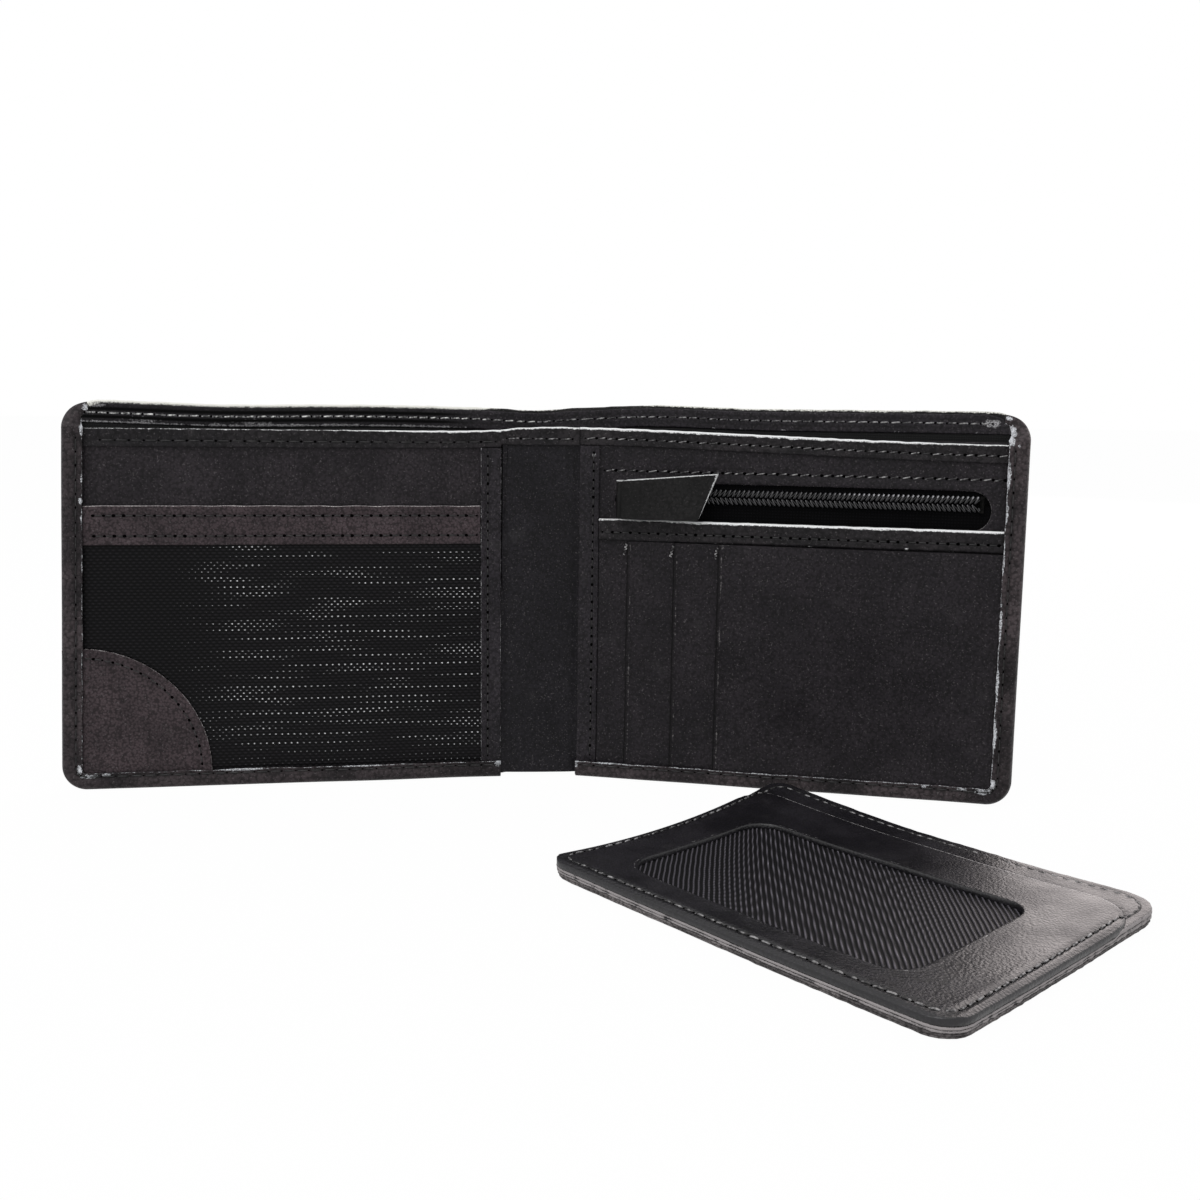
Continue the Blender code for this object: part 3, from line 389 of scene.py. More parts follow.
# The bindings' own, with x as far out as at the wing's foot. Their inner edges are at -111.9 and 112.6.
BINDING_SPOTS = np.array([
    (-112.0, 89.0, 0.7, 4.0, 1.20), (-111.4, 93.0, 1.8, 1.4, 1.15), (-112.0, 76.0, 0.5, 2.0, 1.10),
    (-112.2, 71.0, 0.9, 1.3, 1.15), (-112.1, 66.8, 0.5, 1.2, 1.05), (-112.5, 5.4, 0.9, 1.8, 1.30),
    (-110.2, 3.7, 2.8, 0.7, 1.30), (-106.4, 4.0, 2.2, 0.5, 1.15), (-74.0, 4.4, 10.0, 0.7, 1.08),
    (-45.0, 4.4, 14.0, 0.4, 1.00), (-10.2, 4.2, 1.4, 1.6, 1.20), (110.2, 92.6, 3.0, 1.8, 1.20),
    (113.6, 90.6, 1.3, 2.4, 1.18), (112.4, 93.4, 2.2, 0.9, 1.18), (114.8, 87.2, 0.6, 1.2, 1.08),
    (112.9, 89.0, 1.3, 4.0, 1.22), (112.8, 80.0, 0.8, 5.0, 1.15), (112.8, 71.0, 0.6, 4.0, 1.10),
    (112.7, 60.0, 0.4, 5.0, 1.05), (112.8, 45.0, 0.6, 8.0, 1.10), (112.8, 30.0, 0.7, 6.0, 1.14),
    (112.7, 18.0, 0.9, 6.0, 1.20), (112.8, 5.8, 1.0, 1.8, 1.32), (110.4, 3.6, 2.0, 0.9, 1.34),
    (112.2, 4.0, 1.0, 1.0, 1.20), (105.8, 3.9, 2.0, 0.6, 1.18), (96.8, 3.9, 1.0, 0.6, 1.22),
    (17.5, 4.4, 4.0, 0.5, 1.08), (9.9, 3.4, 0.7, 1.6, 1.05),
])


def rubbed(x, v, spots=RUBBED):
    """The strongest rubbed place at x, v: the largest of its bells."""
    x, v = np.broadcast_arrays(x, v)
    strength = np.zeros(x.shape)
    for x0, v0, wide, high, amount in spots:
        spot = amount * bell(x - x0 * MM, wide * MM) * bell(v - v0 * MM, high * MM)
        strength = np.maximum(strength, spot)
    return strength


def dress(thing, material, body=None, blend=None, replaces=()):
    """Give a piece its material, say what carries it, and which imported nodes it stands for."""
    thing.data.materials.append(material)
    if replaces:
        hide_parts(*replaces)
    if body:
        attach(thing, body)
    if blend:
        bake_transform(thing)


# %% [markdown]
# ## Effects that several finishes share
# Leather and cloth need the same few effects at different strengths: a pebbled grain, worn pale edges and
# fine dust. Each is a node group that puts out a height or a mask, so every material can set its own
# values, and the shader itself stays in the material.


# %% Node helpers and shared effects
def feed(socket, value):
    """Give an input its value: another node's socket to link, or a number or colour to set."""
    if isinstance(value, bpy.types.NodeSocket):
        socket.id_data.links.new(value, socket)
    elif value is not None:
        socket.default_value = value


def add_node(tree, kind, inputs, **settings):
    """A node with its settings and its inputs, which are named or numbered."""
    node = tree.nodes.new(kind)
    for label, value in settings.items():
        setattr(node, label, value)
    for label, value in inputs.items():
        feed(node.inputs[label], value)
    return node


def add_math(tree, operation, first, second, clamp=False):
    """A Math node. Each of its values is a socket or a number."""
    inputs = {0: first, 1: second}
    return add_node(tree, "ShaderNodeMath", inputs, operation=operation, use_clamp=clamp).outputs[0]


def add_noise(tree, vector, scale, detail=2.0, roughness=0.5):
    """A Noise texture of the given scale."""
    inputs = {"Vector": vector, "Scale": scale, "Detail": detail, "Roughness": roughness}
    return add_node(tree, "ShaderNodeTexNoise", inputs).outputs["Fac"]


def add_range(tree, value, low, high, new_low=0.0, new_high=1.0):
    """A smooth Map Range node from low..high to new_low..new_high. Any of them may be a socket."""
    inputs = {"Value": value, "From Min": low, "From Max": high, "To Min": new_low, "To Max": new_high}
    return add_node(tree, "ShaderNodeMapRange", inputs, interpolation_type="SMOOTHSTEP").outputs["Result"]


def add_mix(tree, share, first, second):
    """A colour Mix node. Each colour is a socket or three numbers."""
    inputs = {"Factor": share}
    for number, value in ((6, first), (7, second)):
        inputs[number] = value if isinstance(value, bpy.types.NodeSocket) else (*value, 1.0)
    return add_node(tree, "ShaderNodeMix", inputs, data_type="RGBA").outputs[2]


def add_group(name, inputs, outputs):
    """An empty group with an input for each number, a vector input for each None, and float outputs."""
    group = bpy.data.node_groups.new(name, "ShaderNodeTree")
    for label, value in inputs.items():
        kind = "NodeSocketVector" if value is None else "NodeSocketFloat"
        socket = group.interface.new_socket(label, in_out="INPUT", socket_type=kind)
        if value is not None:
            socket.default_value = value
    for label in outputs:
        group.interface.new_socket(label, in_out="OUTPUT", socket_type="NodeSocketFloat")
    return group, group.nodes.new("NodeGroupInput").outputs, group.nodes.new("NodeGroupOutput").inputs


def group_noise(group, given, times, detail=2.0, roughness=0.5):
    """Noise at so many times the scale that the group is given."""
    scale = add_math(group, "MULTIPLY", given["Scale"], times)
    return add_noise(group, given["Vector"], scale, detail, roughness)


def grain_group():
    """Pebbled grain: the distance to the cracks between cells, softened, plus fine pores."""
    group, given, result = add_group("pebbled grain", {"Vector": None, "Scale": 900.0}, ("Height", "Tone"))
    inputs = {"Smoothness": 0.6, "Randomness": 0.9, "Vector": given["Vector"], "Scale": given["Scale"]}
    cells = add_node(group, "ShaderNodeTexVoronoi", inputs, feature="SMOOTH_F1")
    pebbles = add_range(group, cells.outputs["Distance"], 0.1, 0.8, 1.0, 0.0)
    pores = add_math(group, "MULTIPLY", group_noise(group, given, 3.1), 0.6)
    feed(result["Height"], add_math(group, "ADD", pebbles, pores))
    feed(result["Tone"], group_noise(group, given, 0.06, 3.0))
    return group


def wear_group():
    """Worn edges: a mask where nearness to an edge plus patchy noise passes a threshold, split in fibres."""
    inputs = {"Vector": None, "Edge": 0.0, "Amount": 0.5, "Scale": 300.0}
    group, given, result = add_group("worn edge", inputs, ("Mask",))
    patches = add_noise(group, given["Vector"], given["Scale"], 4.0, 0.65)
    slow = add_math(group, "MULTIPLY", group_noise(group, given, 0.16), 0.5)
    noise = add_math(group, "ADD", patches, slow)
    lifted = add_math(group, "SUBTRACT", add_math(group, "ADD", noise, given["Edge"]), 1.22)
    threshold = add_math(group, "MULTIPLY", add_math(group, "SUBTRACT", 1.0, given["Amount"]), 0.8)
    bare = add_range(group, lifted, threshold, add_math(group, "ADD", threshold, 0.12))
    fibres = add_range(group, group_noise(group, given, 3.4, 3.0, 0.7), 0.42, 0.54)
    kept = add_math(group, "MAXIMUM", fibres, add_range(group, given["Edge"], 0.95, 1.3, 0.15, 1.0))
    feed(result["Mask"], add_math(group, "MULTIPLY", bare, kept))
    return group


def dust_group():
    """Dust and rub marks: sparse soft specks, and a few pale smears."""
    group, given, result = add_group("dust", {"Vector": None, "Scale": 1500.0}, ("Specks", "Smears"))
    fine = add_noise(group, given["Vector"], given["Scale"], 2.0, 0.6)
    feed(result["Specks"], add_range(group, fine, 0.58, 0.78))
    feed(result["Smears"], add_range(group, group_noise(group, given, 0.05, 5.0, 0.6), 0.58, 0.78))
    return group


GRAIN, WEAR, DUST = grain_group(), wear_group(), dust_group()
print("shared effects:", [group.name for group in (GRAIN, WEAR, DUST)])

# %% [markdown]
# ## Black leather
# The real leather is nearly black and slightly warm, with a fine grain, a satin sheen that shows at low
# angles, and pale raw edges where the dye has worn off. Colour, roughness and bump come from the shared
# effects. The worn mask reads each piece's own edge value, so wear stays on rims at every pose. Its shade
# value is painted shade, which turns the colour black in grooves, creases and along edges.


# %% Leather materials
def use_group(tree, group, **inputs):
    """Place a node group. Each input is a socket to link or a number."""
    return add_node(tree, "ShaderNodeGroup", inputs, node_tree=group).outputs


def new_material(name, specular, **own_values):
    """A material with its shader's own values, its Object coordinates, its UV, and its edge and shade."""
    material = bpy.data.materials.new(name)
    material.use_nodes = True
    tree = material.node_tree
    shader = tree.nodes["Principled BSDF"].inputs
    shader["Specular IOR Level"].default_value = specular
    for label, value in own_values.items():
        shader[label.replace("_", " ").title()].default_value = value
    coordinates = tree.nodes.new("ShaderNodeTexCoord").outputs
    own = {
        label: add_node(tree, "ShaderNodeAttribute", {}, attribute_name=label).outputs["Fac"]
        for label in ("edge", "shade")
    }
    return SimpleNamespace(
        material=material, tree=tree, shader=shader, place=coordinates["Object"], uv=coordinates["UV"], **own,
    )


def add_bump(made, height, strength, distance):
    """A Bump node that feeds the shader's Normal."""
    inputs = {"Strength": strength, "Distance": distance, "Height": height}
    feed(made.shader["Normal"], add_node(made.tree, "ShaderNodeBump", inputs).outputs["Normal"])


WEAR_SCALE, DUST_SCALE = 1000.0, 2400.0
SHADE_BLACK, PIT_SHADE_BLACK = (0.001, 0.001, 0.001), (0.002, 0.002, 0.002)
DUST_COLOUR, SMEAR_COLOUR = (0.16, 0.145, 0.15), (0.20, 0.19, 0.19)


def leather(
    name, dark, light, pale=(0.50, 0.49, 0.50), scale=1000.0, wear=0.62, roughness=(0.42, 0.60), bump=0.35,
    specular=0.13, speckle=0.52,
):
    """Pebbled leather: dark to light by slow tone, pale where worn, painted shade in creases and grain pits.
    """
    made = new_material(name, specular)
    tree = made.tree
    grain = use_group(tree, GRAIN, Vector=made.place, Scale=scale)
    worn = use_group(tree, WEAR, Vector=made.place, Edge=made.edge, Amount=wear, Scale=WEAR_SCALE)["Mask"]
    dust = use_group(tree, DUST, Vector=made.place, Scale=DUST_SCALE)
    base = add_mix(tree, add_range(tree, grain["Tone"], 0.3, 0.7), dark, light)
    # Painted shade in the grain: its low places are darker.
    pit_shaded = add_mix(tree, add_range(tree, grain["Height"], 0.2, 1.1, 0.65, 0.0), base, PIT_SHADE_BLACK)
    dusty = add_mix(tree, add_math(tree, "MULTIPLY", dust["Specks"], speckle), pit_shaded, DUST_COLOUR)
    smeared = add_mix(tree, add_math(tree, "MULTIPLY", dust["Smears"], 0.05), dusty, SMEAR_COLOUR)
    # Painted shade: the colour goes to black, and the surface matte, where the shade value is high.
    painted_shade = add_math(tree, "MULTIPLY", made.shade, 0.9, clamp=True)
    feed(made.shader["Base Color"], add_mix(tree, painted_shade, add_mix(tree, worn, smeared, pale), SHADE_BLACK))
    satin = add_range(tree, grain["Tone"], 0.3, 0.7, *roughness)
    rough = add_math(tree, "ADD", satin, add_math(tree, "MULTIPLY", worn, 0.3), clamp=True)
    feed(made.shader["Roughness"], add_math(tree, "MAXIMUM", rough, painted_shade))
    height = add_math(tree, "ADD", grain["Height"], add_math(tree, "MULTIPLY", worn, 0.8))
    add_bump(made, height, bump, 0.12 * MM)
    return made.material


panel_leather = leather(
    "panel leather", (0.0120, 0.0102, 0.0125), (0.0215, 0.0182, 0.0215), (0.17, 0.16, 0.16), 1500.0,
)
# A lit copy of the panel leather: the left wing's divider is made lighter as painted light.
left_lit_panel_leather = leather(
    "left panel leather", (0.0152, 0.0125, 0.0150), (0.0265, 0.0220, 0.0255), (0.17, 0.16, 0.16), 1500.0,
)
spine_leather = leather(
    "spine leather", (0.0080, 0.0072, 0.0092), (0.0150, 0.0135, 0.0165), (0.35, 0.34, 0.35), 1500.0,
)
trim_leather = leather(
    "trim leather", (0.0155, 0.0135, 0.0165), (0.0285, 0.0245, 0.0290), (0.42, 0.41, 0.42), 1400.0,
)
# Hem leather: its pale, on the hem tops, is worn edge paint and a painted highlight along them.
hem_leather_with_highlight = leather(
    "painted edge leather", (0.0110, 0.0100, 0.0115), (0.0240, 0.0210, 0.0230), (0.88, 0.88, 0.88),
)
warm_leather = leather(
    "warm trim leather", (0.0370, 0.0275, 0.0305), (0.0655, 0.0485, 0.0530), (0.52, 0.48, 0.48), 1700.0,
)
binding_leather = leather(
    "binding leather", (0.0180, 0.0146, 0.0162), (0.0680, 0.0545, 0.0575), (0.70, 0.71, 0.74), 1200.0,
    bump=0.8, speckle=0.60,
)
cover_leather = leather(
    "cover leather", (0.0080, 0.0075, 0.0080), (0.0170, 0.0155, 0.0155), (0.80, 0.79, 0.73), 700.0,
    bump=0.6,
)
tab_leather = leather(
    "tab leather", (0.0055, 0.0055, 0.0055), (0.0125, 0.0120, 0.0120), (0.80, 0.80, 0.80), 1300.0,
    wear=0.75, bump=0.2, speckle=0.2,
)
HOLDER_LOOK = dict(roughness=(0.34, 0.46), specular=0.50, bump=0.34, speckle=0.12, scale=1700.0)
HOLDER_DARK, HOLDER_LIGHT = (0.0040, 0.0034, 0.0055), (0.0100, 0.0085, 0.0120)
holder_leather = leather("holder leather", HOLDER_DARK, HOLDER_LIGHT, (0.30, 0.275, 0.275), **HOLDER_LOOK)
frame_leather = leather("holder frame leather", HOLDER_DARK, HOLDER_LIGHT, (0.62, 0.59, 0.59), **HOLDER_LOOK)
layer_leather = leather(
    "layered edge leather", (0.0800, 0.0720, 0.0730), (0.2300, 0.2080, 0.2080), (0.36, 0.33, 0.33), 1500.0,
    bump=0.9, specular=0.1, speckle=0.6,
)
print("leathers made")

# %% [markdown]
# ## Cloth, thread, coil and metal
# The linings are a plain weave, the zip's tapes a rib, the window a knitted net, and the holder's fabric a
# coarse twill. Their large shape is real geometry further on. Here the yarns get their fine bump from each
# piece's own UV, which is in metres, so a weave bends with its sheet.


# %% Cloth and hard materials
def add_wave(tree, vector, scale, direction):
    """A Wave texture with slightly uneven bands across one direction."""
    inputs = {"Scale": scale, "Distortion": 0.4, "Detail Scale": 2.0, "Vector": vector}
    return add_node(tree, "ShaderNodeTexWave", inputs, bands_direction=direction).outputs["Fac"]


def cloth(name, dark, light, threads, bump=0.6, sheen=0.15, specular=0.2):
    """Plain weave: two sets of yarns as waves at right angles, the higher on top, painted shade where lower.
    """
    made = new_material(name, specular, sheen_weight=sheen, roughness=0.85)
    tree = made.tree
    warp, weft = (add_wave(tree, made.uv, threads, direction) for direction in "XY")
    height = add_math(tree, "MULTIPLY", warp, weft)
    slow = add_range(tree, add_noise(tree, made.place, 160.0, 3.0), 0.3, 0.7, 0.5, 1.0)
    # Painted shade: lower places of the weave are darker.
    share = add_math(tree, "MULTIPLY", add_range(tree, height, 0.1, 0.9), slow)
    feed(made.shader["Base Color"], add_mix(tree, share, dark, light))
    add_bump(made, height, bump, 0.10 * MM)
    return made.material


def crest_cloth(name, dark, light, glint, glint_share, roughness, patch_scale, patch_range, specular=0.1):
    """Painted light on yarns: colour follows the crest value, with shade low and glints in stretched patches.
    """
    made = new_material(name, specular, roughness=roughness)
    tree = made.tree
    stretched = add_node(tree, "ShaderNodeMapping", {"Vector": made.place, "Scale": patch_scale})
    patches = add_range(tree, add_noise(tree, stretched.outputs["Vector"], 1.0), *patch_range)
    fibres = add_noise(tree, made.place, 2600.0)
    # Painted shade and highlight: dark in the valleys, light on the crests, and a glint colour at the top.
    body = add_mix(tree, add_range(tree, made.edge, 0.15, 0.95), dark, light)
    crest = add_math(tree, "MULTIPLY", add_range(tree, made.edge, 0.72, 1.0), patches)
    lit = add_math(tree, "MULTIPLY", crest, add_range(tree, fibres, 0.35, 0.6, 0.2, glint_share))
    feed(made.shader["Base Color"], add_mix(tree, lit, body, glint))
    add_bump(made, fibres, 0.5, 0.05 * MM)
    return made.material


def thread(name, dark, light):
    """Waxed thread, with paler fibres by noise."""
    made = new_material(name, 0.4, roughness=0.5)
    tree = made.tree
    fibres = add_noise(tree, made.place, 800.0, 4.0, 0.6)
    feed(made.shader["Base Color"], add_mix(tree, add_range(tree, fibres, 0.42, 0.66), dark, light))
    add_bump(made, fibres, 0.6, 0.05 * MM)
    return made.material


def hard(name, colour, light, metallic, roughness, scale, specular=0.5):
    """A hard finish with fine scratches in colour and roughness, and painted highlight where its edge value
    is high.
    """
    made = new_material(name, specular, metallic=metallic)
    tree = made.tree
    marks = add_noise(tree, made.place, scale, 4.0, 0.7)
    body = add_mix(tree, add_range(tree, marks, 0.4, 0.7), colour, light)
    feed(made.shader["Base Color"], add_mix(tree, made.edge, body, (0.85, 0.84, 0.88)))
    feed(made.shader["Roughness"], add_range(tree, marks, 0.3, 0.7, roughness - 0.08, roughness + 0.12))
    add_bump(made, marks, 0.15, 0.05 * MM)
    return made.material


lining_cloth = cloth("lining cloth", (0.004, 0.004, 0.0042), (0.014, 0.0135, 0.014), 560.0)
# Zip tape, made darker as painted shade: it lies in the shadow of the slot.
tape_cloth_in_shade = cloth(
    "zip tape", (0.0010, 0.0010, 0.0012), (0.0040, 0.0038, 0.0046), 420.0, bump=0.9, sheen=0.0,
    specular=0.06,
)
net_cloth = crest_cloth(
    "window net", (0.0008, 0.0008, 0.0010), (0.0120, 0.0108, 0.0125), (0.95, 0.95, 0.96), 1.0, 0.5,
    (34.0, 34.0, 1300.0), (0.53, 0.62),
)
rib_cloth = crest_cloth(
    "ribbed fabric", (0.0012, 0.0011, 0.0016), (0.120, 0.110, 0.128), (0.50, 0.47, 0.52), 0.9, 0.6,
    (300.0, 300.0, 300.0), (0.42, 0.72), specular=0.2,
)
dark_thread = thread("dark thread", (0.004, 0.004, 0.004), (0.028, 0.026, 0.027))
grey_thread = thread("grey thread", (0.012, 0.011, 0.012), (0.36, 0.35, 0.35))
pale_thread = thread("pale thread", (0.03, 0.03, 0.03), (0.88, 0.87, 0.85))
# Needle holes: near-black discs that paint the shade inside each hole.
needle_hole_shade = hard(
    "needle hole", (0.0006, 0.0006, 0.0006), (0.0015, 0.0015, 0.0015), 0.0, 0.85, 900.0, specular=0.0,
)
coil_nylon = hard("coil nylon", (0.005, 0.005, 0.006), (0.020, 0.018, 0.022), 0.0, 0.24, 700.0, 0.7)
dark_metal = hard("dark metal", (0.003, 0.003, 0.003), (0.012, 0.0115, 0.011), 1.0, 0.40, 1200.0)
print("cloths and hard finishes made")

# %% [markdown]
# ## Sheets of one wing
# Pockets, hems, bands and strips are all thin leather sheets whose free edge shows. One function makes them
# from the imported node's own span: the loop runs up the sheet where its top edge is free, and across it
# where a side edge is. Rows of stitching press a groove into the leather, so the groove is part of the
# sheet's shape and not only drawn on it. Painted shade darkens each groove as well.

# %% Stitch rows and leaves
PITCH = 3.3 * MM
THREAD_SINK = 0.04 * MM
HEM_SPACING = 0.55 * MM
SHIFT_FROM, SHIFT_OVER = 80, 8
STITCH_SHARES = np.array([0.12, 0.22, 0.50, 0.78, 0.88])
STITCH_WIDTHS = np.array([0.45, 0.85, 1.0, 0.85, 0.45])
HOLE_RINGS = np.array([0.05, 0.75, 1.0])
HOLE_RISES = np.array([0.085, 0.07, -0.10]) * MM
CORNER_RADIUS = 5.4 * MM


def groove(distance, run, pitch=PITCH, deep=0.13 * MM, wide=0.5 * MM):
    """Depth of the groove under a row: a bell across it, deeper at each needle hole along it."""
    return deep * np.exp(-((distance / wide) ** 2)) * (0.65 + 0.35 * np.cos(2 * math.pi * run / pitch))


def outer_edge(wing, v, inset):
    """u of the wing's outer edge at height v, less inset."""
    return wing.length - wing.lean * v - inset


def upper_part(v):
    """0 up to the height where the right divider starts to stand forward, and 1 where it has done so."""
    return ramp(v, SHIFT_FROM, SHIFT_OVER)


def leaf(
    name, wing, node, material, along="u", worn="high", rows=(), spacing=2 * MM, steps=26, v1=None,
    slot="grained_leather", top_shift=0.0, swell=0.0, fade=0.45 * MM, fray=0.0, seed=1, relief=None,
    white=1.0, tilt=None, shade_and_highlight_lines=False,
):
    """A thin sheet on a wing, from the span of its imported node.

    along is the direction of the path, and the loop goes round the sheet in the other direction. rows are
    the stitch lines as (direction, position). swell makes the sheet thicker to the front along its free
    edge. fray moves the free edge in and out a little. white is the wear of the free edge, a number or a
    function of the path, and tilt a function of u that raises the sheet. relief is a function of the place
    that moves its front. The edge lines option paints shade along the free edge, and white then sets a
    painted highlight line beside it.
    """
    s = span(node, wing)
    s.v1 = s.v1 if v1 is None else v1
    at_outer_edge = s.u1 > wing.length - EDGE_REACH
    round_corner = at_outer_edge and s.v0 < EDGE_REACH
    first, last, low, high = (s.u0, s.u1, s.v0, s.v1) if along == "u" else (s.v0, s.v1, s.u0, s.u1)
    path = steps_between(first, last, spacing)
    low, high = np.full_like(path, low), np.full_like(path, high)
    ragged = fray * waves(path, path * 0, 5 * MM, seed)
    if along == "u":
        if round_corner:
            past = np.clip(path - (s.u1 - CORNER_RADIUS), 0, CORNER_RADIUS)
            low = low + CORNER_RADIUS - np.sqrt(CORNER_RADIUS**2 - past**2)
        high = high + ragged
    else:
        low = low + ragged
        if round_corner:
            past = np.clip(CORNER_RADIUS - (path - s.v0), 0, CORNER_RADIUS)
            high = high - CORNER_RADIUS + np.sqrt(CORNER_RADIUS**2 - past**2)
    across, drop, from_low, from_high = thin_loop(low, high, s.thick, steps)
    u, v = (path[:, None] + across * 0, across) if along == "u" else (across, path[:, None] + across * 0)
    if at_outer_edge:
        inset = wing.length - s.u1 - wing.lean * max(s.v0, 0)
        share = np.clip((u - s.u0) / (s.u1 - s.u0), 0, 1)
        u = u + share * (outer_edge(wing, v, max(inset, SHEET_INSET)) - s.u1)
    depth = s.d0 + drop
    front = 1 - drop / s.thick
    shade = 0.0
    for direction, place in rows:
        from_row, run = (v - place, u) if direction == "u" else (u - place, v)
        depth = depth + groove(from_row, run)
        # Painted shade along the stitch groove.
        shade = shade + 0.22 * front * bell(from_row, 0.5 * MM)
    distance = np.minimum(from_low if "low" in worn else 1.0, from_high if "high" in worn else 1.0)
    depth = depth - front * swell * bell(distance, 1.1 * MM) - top_shift * upper_part(v)
    if relief:
        depth = depth + front * relief(u, v)
    strength = white(path)[:, None] if callable(white) else white
    # Painted shade along the free edge, and the pale line moved in from it as a painted highlight.
    if shade_and_highlight_lines:
        shade = shade + 0.95 * bell(distance, 0.60 * MM)
        distance = np.abs(distance - 0.95 * MM)
    edge = np.maximum(near_edge(distance, fade, strength), front * rubbed(wing.side * (HALF + u), v))
    if tilt:
        v = v + tilt(u) * ramp(v, 60, 15)
    made = grid_mesh(name, on_wing(wing, u, depth, v), edge=edge, uv=np.stack([u, v], axis=-1), shade=shade)
    dress(made, material, wing.body, replaces=(node,))
    return made, s


def stitch_row(
    name, ends, front, body=None, material=None, thickness=0.34 * MM, lift=0.06 * MM, slant=0.0,
    hole=0.40 * MM, blend=None,
):
    """A row of stitches through the given hole places, and a near-black disc at each hole as painted shade.

    ends is an array of hole places and front the direction out of the leather at each. A thread is an arch
    between neighbouring holes: its line is the straight one plus a lift that follows a half sine, and its
    section an ellipse that narrows at both ends. slant turns every thread a little, as a sewing machine
    does. The holes differ a little in size and place, by the fraction of a large multiple of a sine.
    """
    run = ends[1:] - ends[:-1]
    facing = unit((front[:-1] + front[1:]) / 2)
    side = unit(np.cross(run, facing))
    start = ends[:-1] + side * slant
    run = run - side * 2 * slant
    width = STITCH_WIDTHS * thickness / 2
    angles = np.radians(np.arange(6) * 60.0)
    centre = start[:, None] + run[:, None] * STITCH_SHARES[None, :, None]
    arch = lift * np.sin(math.pi * STITCH_SHARES) - THREAD_SINK
    centre = centre + facing[:, None] * arch[None, :, None]
    ring = (
        side[:, None, None] * np.cos(angles)[None, None, :, None]
        + facing[:, None, None] * (0.7 * np.sin(angles))[None, None, :, None]
    )
    tubes = centre[:, :, None] + ring * width[None, :, None, None]
    dress(many_tubes(name + "_threads", tubes), material or dark_thread, body, blend)
    dots = np.arange(7) * (2 * math.pi / 7)
    along_run = unit(np.vstack([run, run[-1:]]))
    beside = np.cross(along_run, front)
    chance = np.sin(np.arange(len(ends)) * 12.9898) * 43758.5453
    chance = (chance - np.floor(chance))[:, None, None, None]
    reach = HOLE_RINGS[None, :, None, None] * hole * (0.62 + 0.50 * chance)
    spread = (
        along_run[:, None, None] * np.cos(dots)[None, None, :, None]
        + beside[:, None, None] * np.sin(dots)[None, None, :, None] * 0.8
    )
    centres = ends[:, None, None] + along_run[:, None, None] * 0.3 * MM * (chance - 0.5)
    discs = centres + spread * reach + front[:, None, None] * HOLE_RISES[None, :, None, None]
    dress(many_tubes(name + "_holes", discs), needle_hole_shade, body, blend)


def wing_row(name, wing, u, v, depth, material=None, back=False, **more):
    """A stitch row on a wing through hole places u, v at one depth, facing the front or the back."""
    u, v = np.broadcast_arrays(u, v)
    depth = depth + u * 0
    ends = on_wing(wing, u, depth, v)
    behind = on_wing(wing, u, depth + 1 * MM, v)
    stitch_row(name, ends, unit(behind - ends if back else ends - behind), wing.body, material, **more)


def holes_between(start, stop, pitch=PITCH):
    """Hole places from start to stop at a whole number of pitches."""
    return np.linspace(start, stop, max(2, int(round(abs(stop - start) / pitch)) + 1))


def inner_strip(wing, row, top, swell, white, row_end, pitch, hole):
    """The narrow strip beside a fold, with a row of stitches up it.

    top is how much higher it is than packed, and row_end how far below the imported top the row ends.
    """
    node = f"{wing.name}_inner_strip"
    s = span(node, wing)
    leaf(
        f"{wing.name}_strip", wing, node, trim_leather, along="v", worn="low high", rows=(("v", row),),
        spacing=HEM_SPACING, steps=12, swell=swell, v1=s.v1 + top, white=white,
    )
    holes = holes_between(6 * MM, s.v1 - row_end, pitch)
    wing_row(f"{wing.name}_strip_row", wing, row, holes, s.d0 + THREAD_SINK, hole=hole)


def turned_hem(
    name, wing, node, material, heights, ends, row_names, pitch=PITCH, tilt=None, thread=None,
    stitches=(), **more,
):
    """Leather turned over an edge, with stitched rows at the given heights, short of its ends by ends."""
    s = span(node, wing)
    rows = [("u", v) for v in heights]
    leaf(name, wing, node, material, rows=rows, spacing=HEM_SPACING, tilt=tilt, **more)
    hole_u = holes_between(s.u0 + ends[0], s.u1 - ends[1], pitch)
    for row_name, height in zip(row_names, heights):
        hole_v = height + (tilt(hole_u) if tilt else 0.0)
        wing_row(row_name, wing, hole_u, hole_v, s.d0 + THREAD_SINK, thread, **dict(stitches))


print("leaf and stitch helpers ready")

# %% [markdown]
# ## Right wing pockets
# From the back to the front: the divider with its lining, the coin pocket's lining, the zip panel with its
# slot, the front pocket with its band, and three card pockets stepped away from the fold. The zip panel is
# a ring, because its slot has a turned and stitched edge of its own.

# %% Right wing sheets
TOP_SHIFT = 1.6 * MM


def right_rise(u):
    """The right divider's top falls from the spine to the outer edge: a soft S between two heights."""
    return 1.3 * MM - 2.25 * MM * smooth(u / right.length) ** 0.8


def left_rise(u):
    """The left divider's top rises a little towards the spine."""
    return 0.5 * MM * np.exp(-u / (9 * MM))


leaf(
    "right_bill_divider_sheet", right, "right_bill_divider", panel_leather, top_shift=TOP_SHIFT,
    slot="smooth_leather", tilt=right_rise,
)
hem_row = span("right_divider_hem", right).v0 + 1.7 * MM
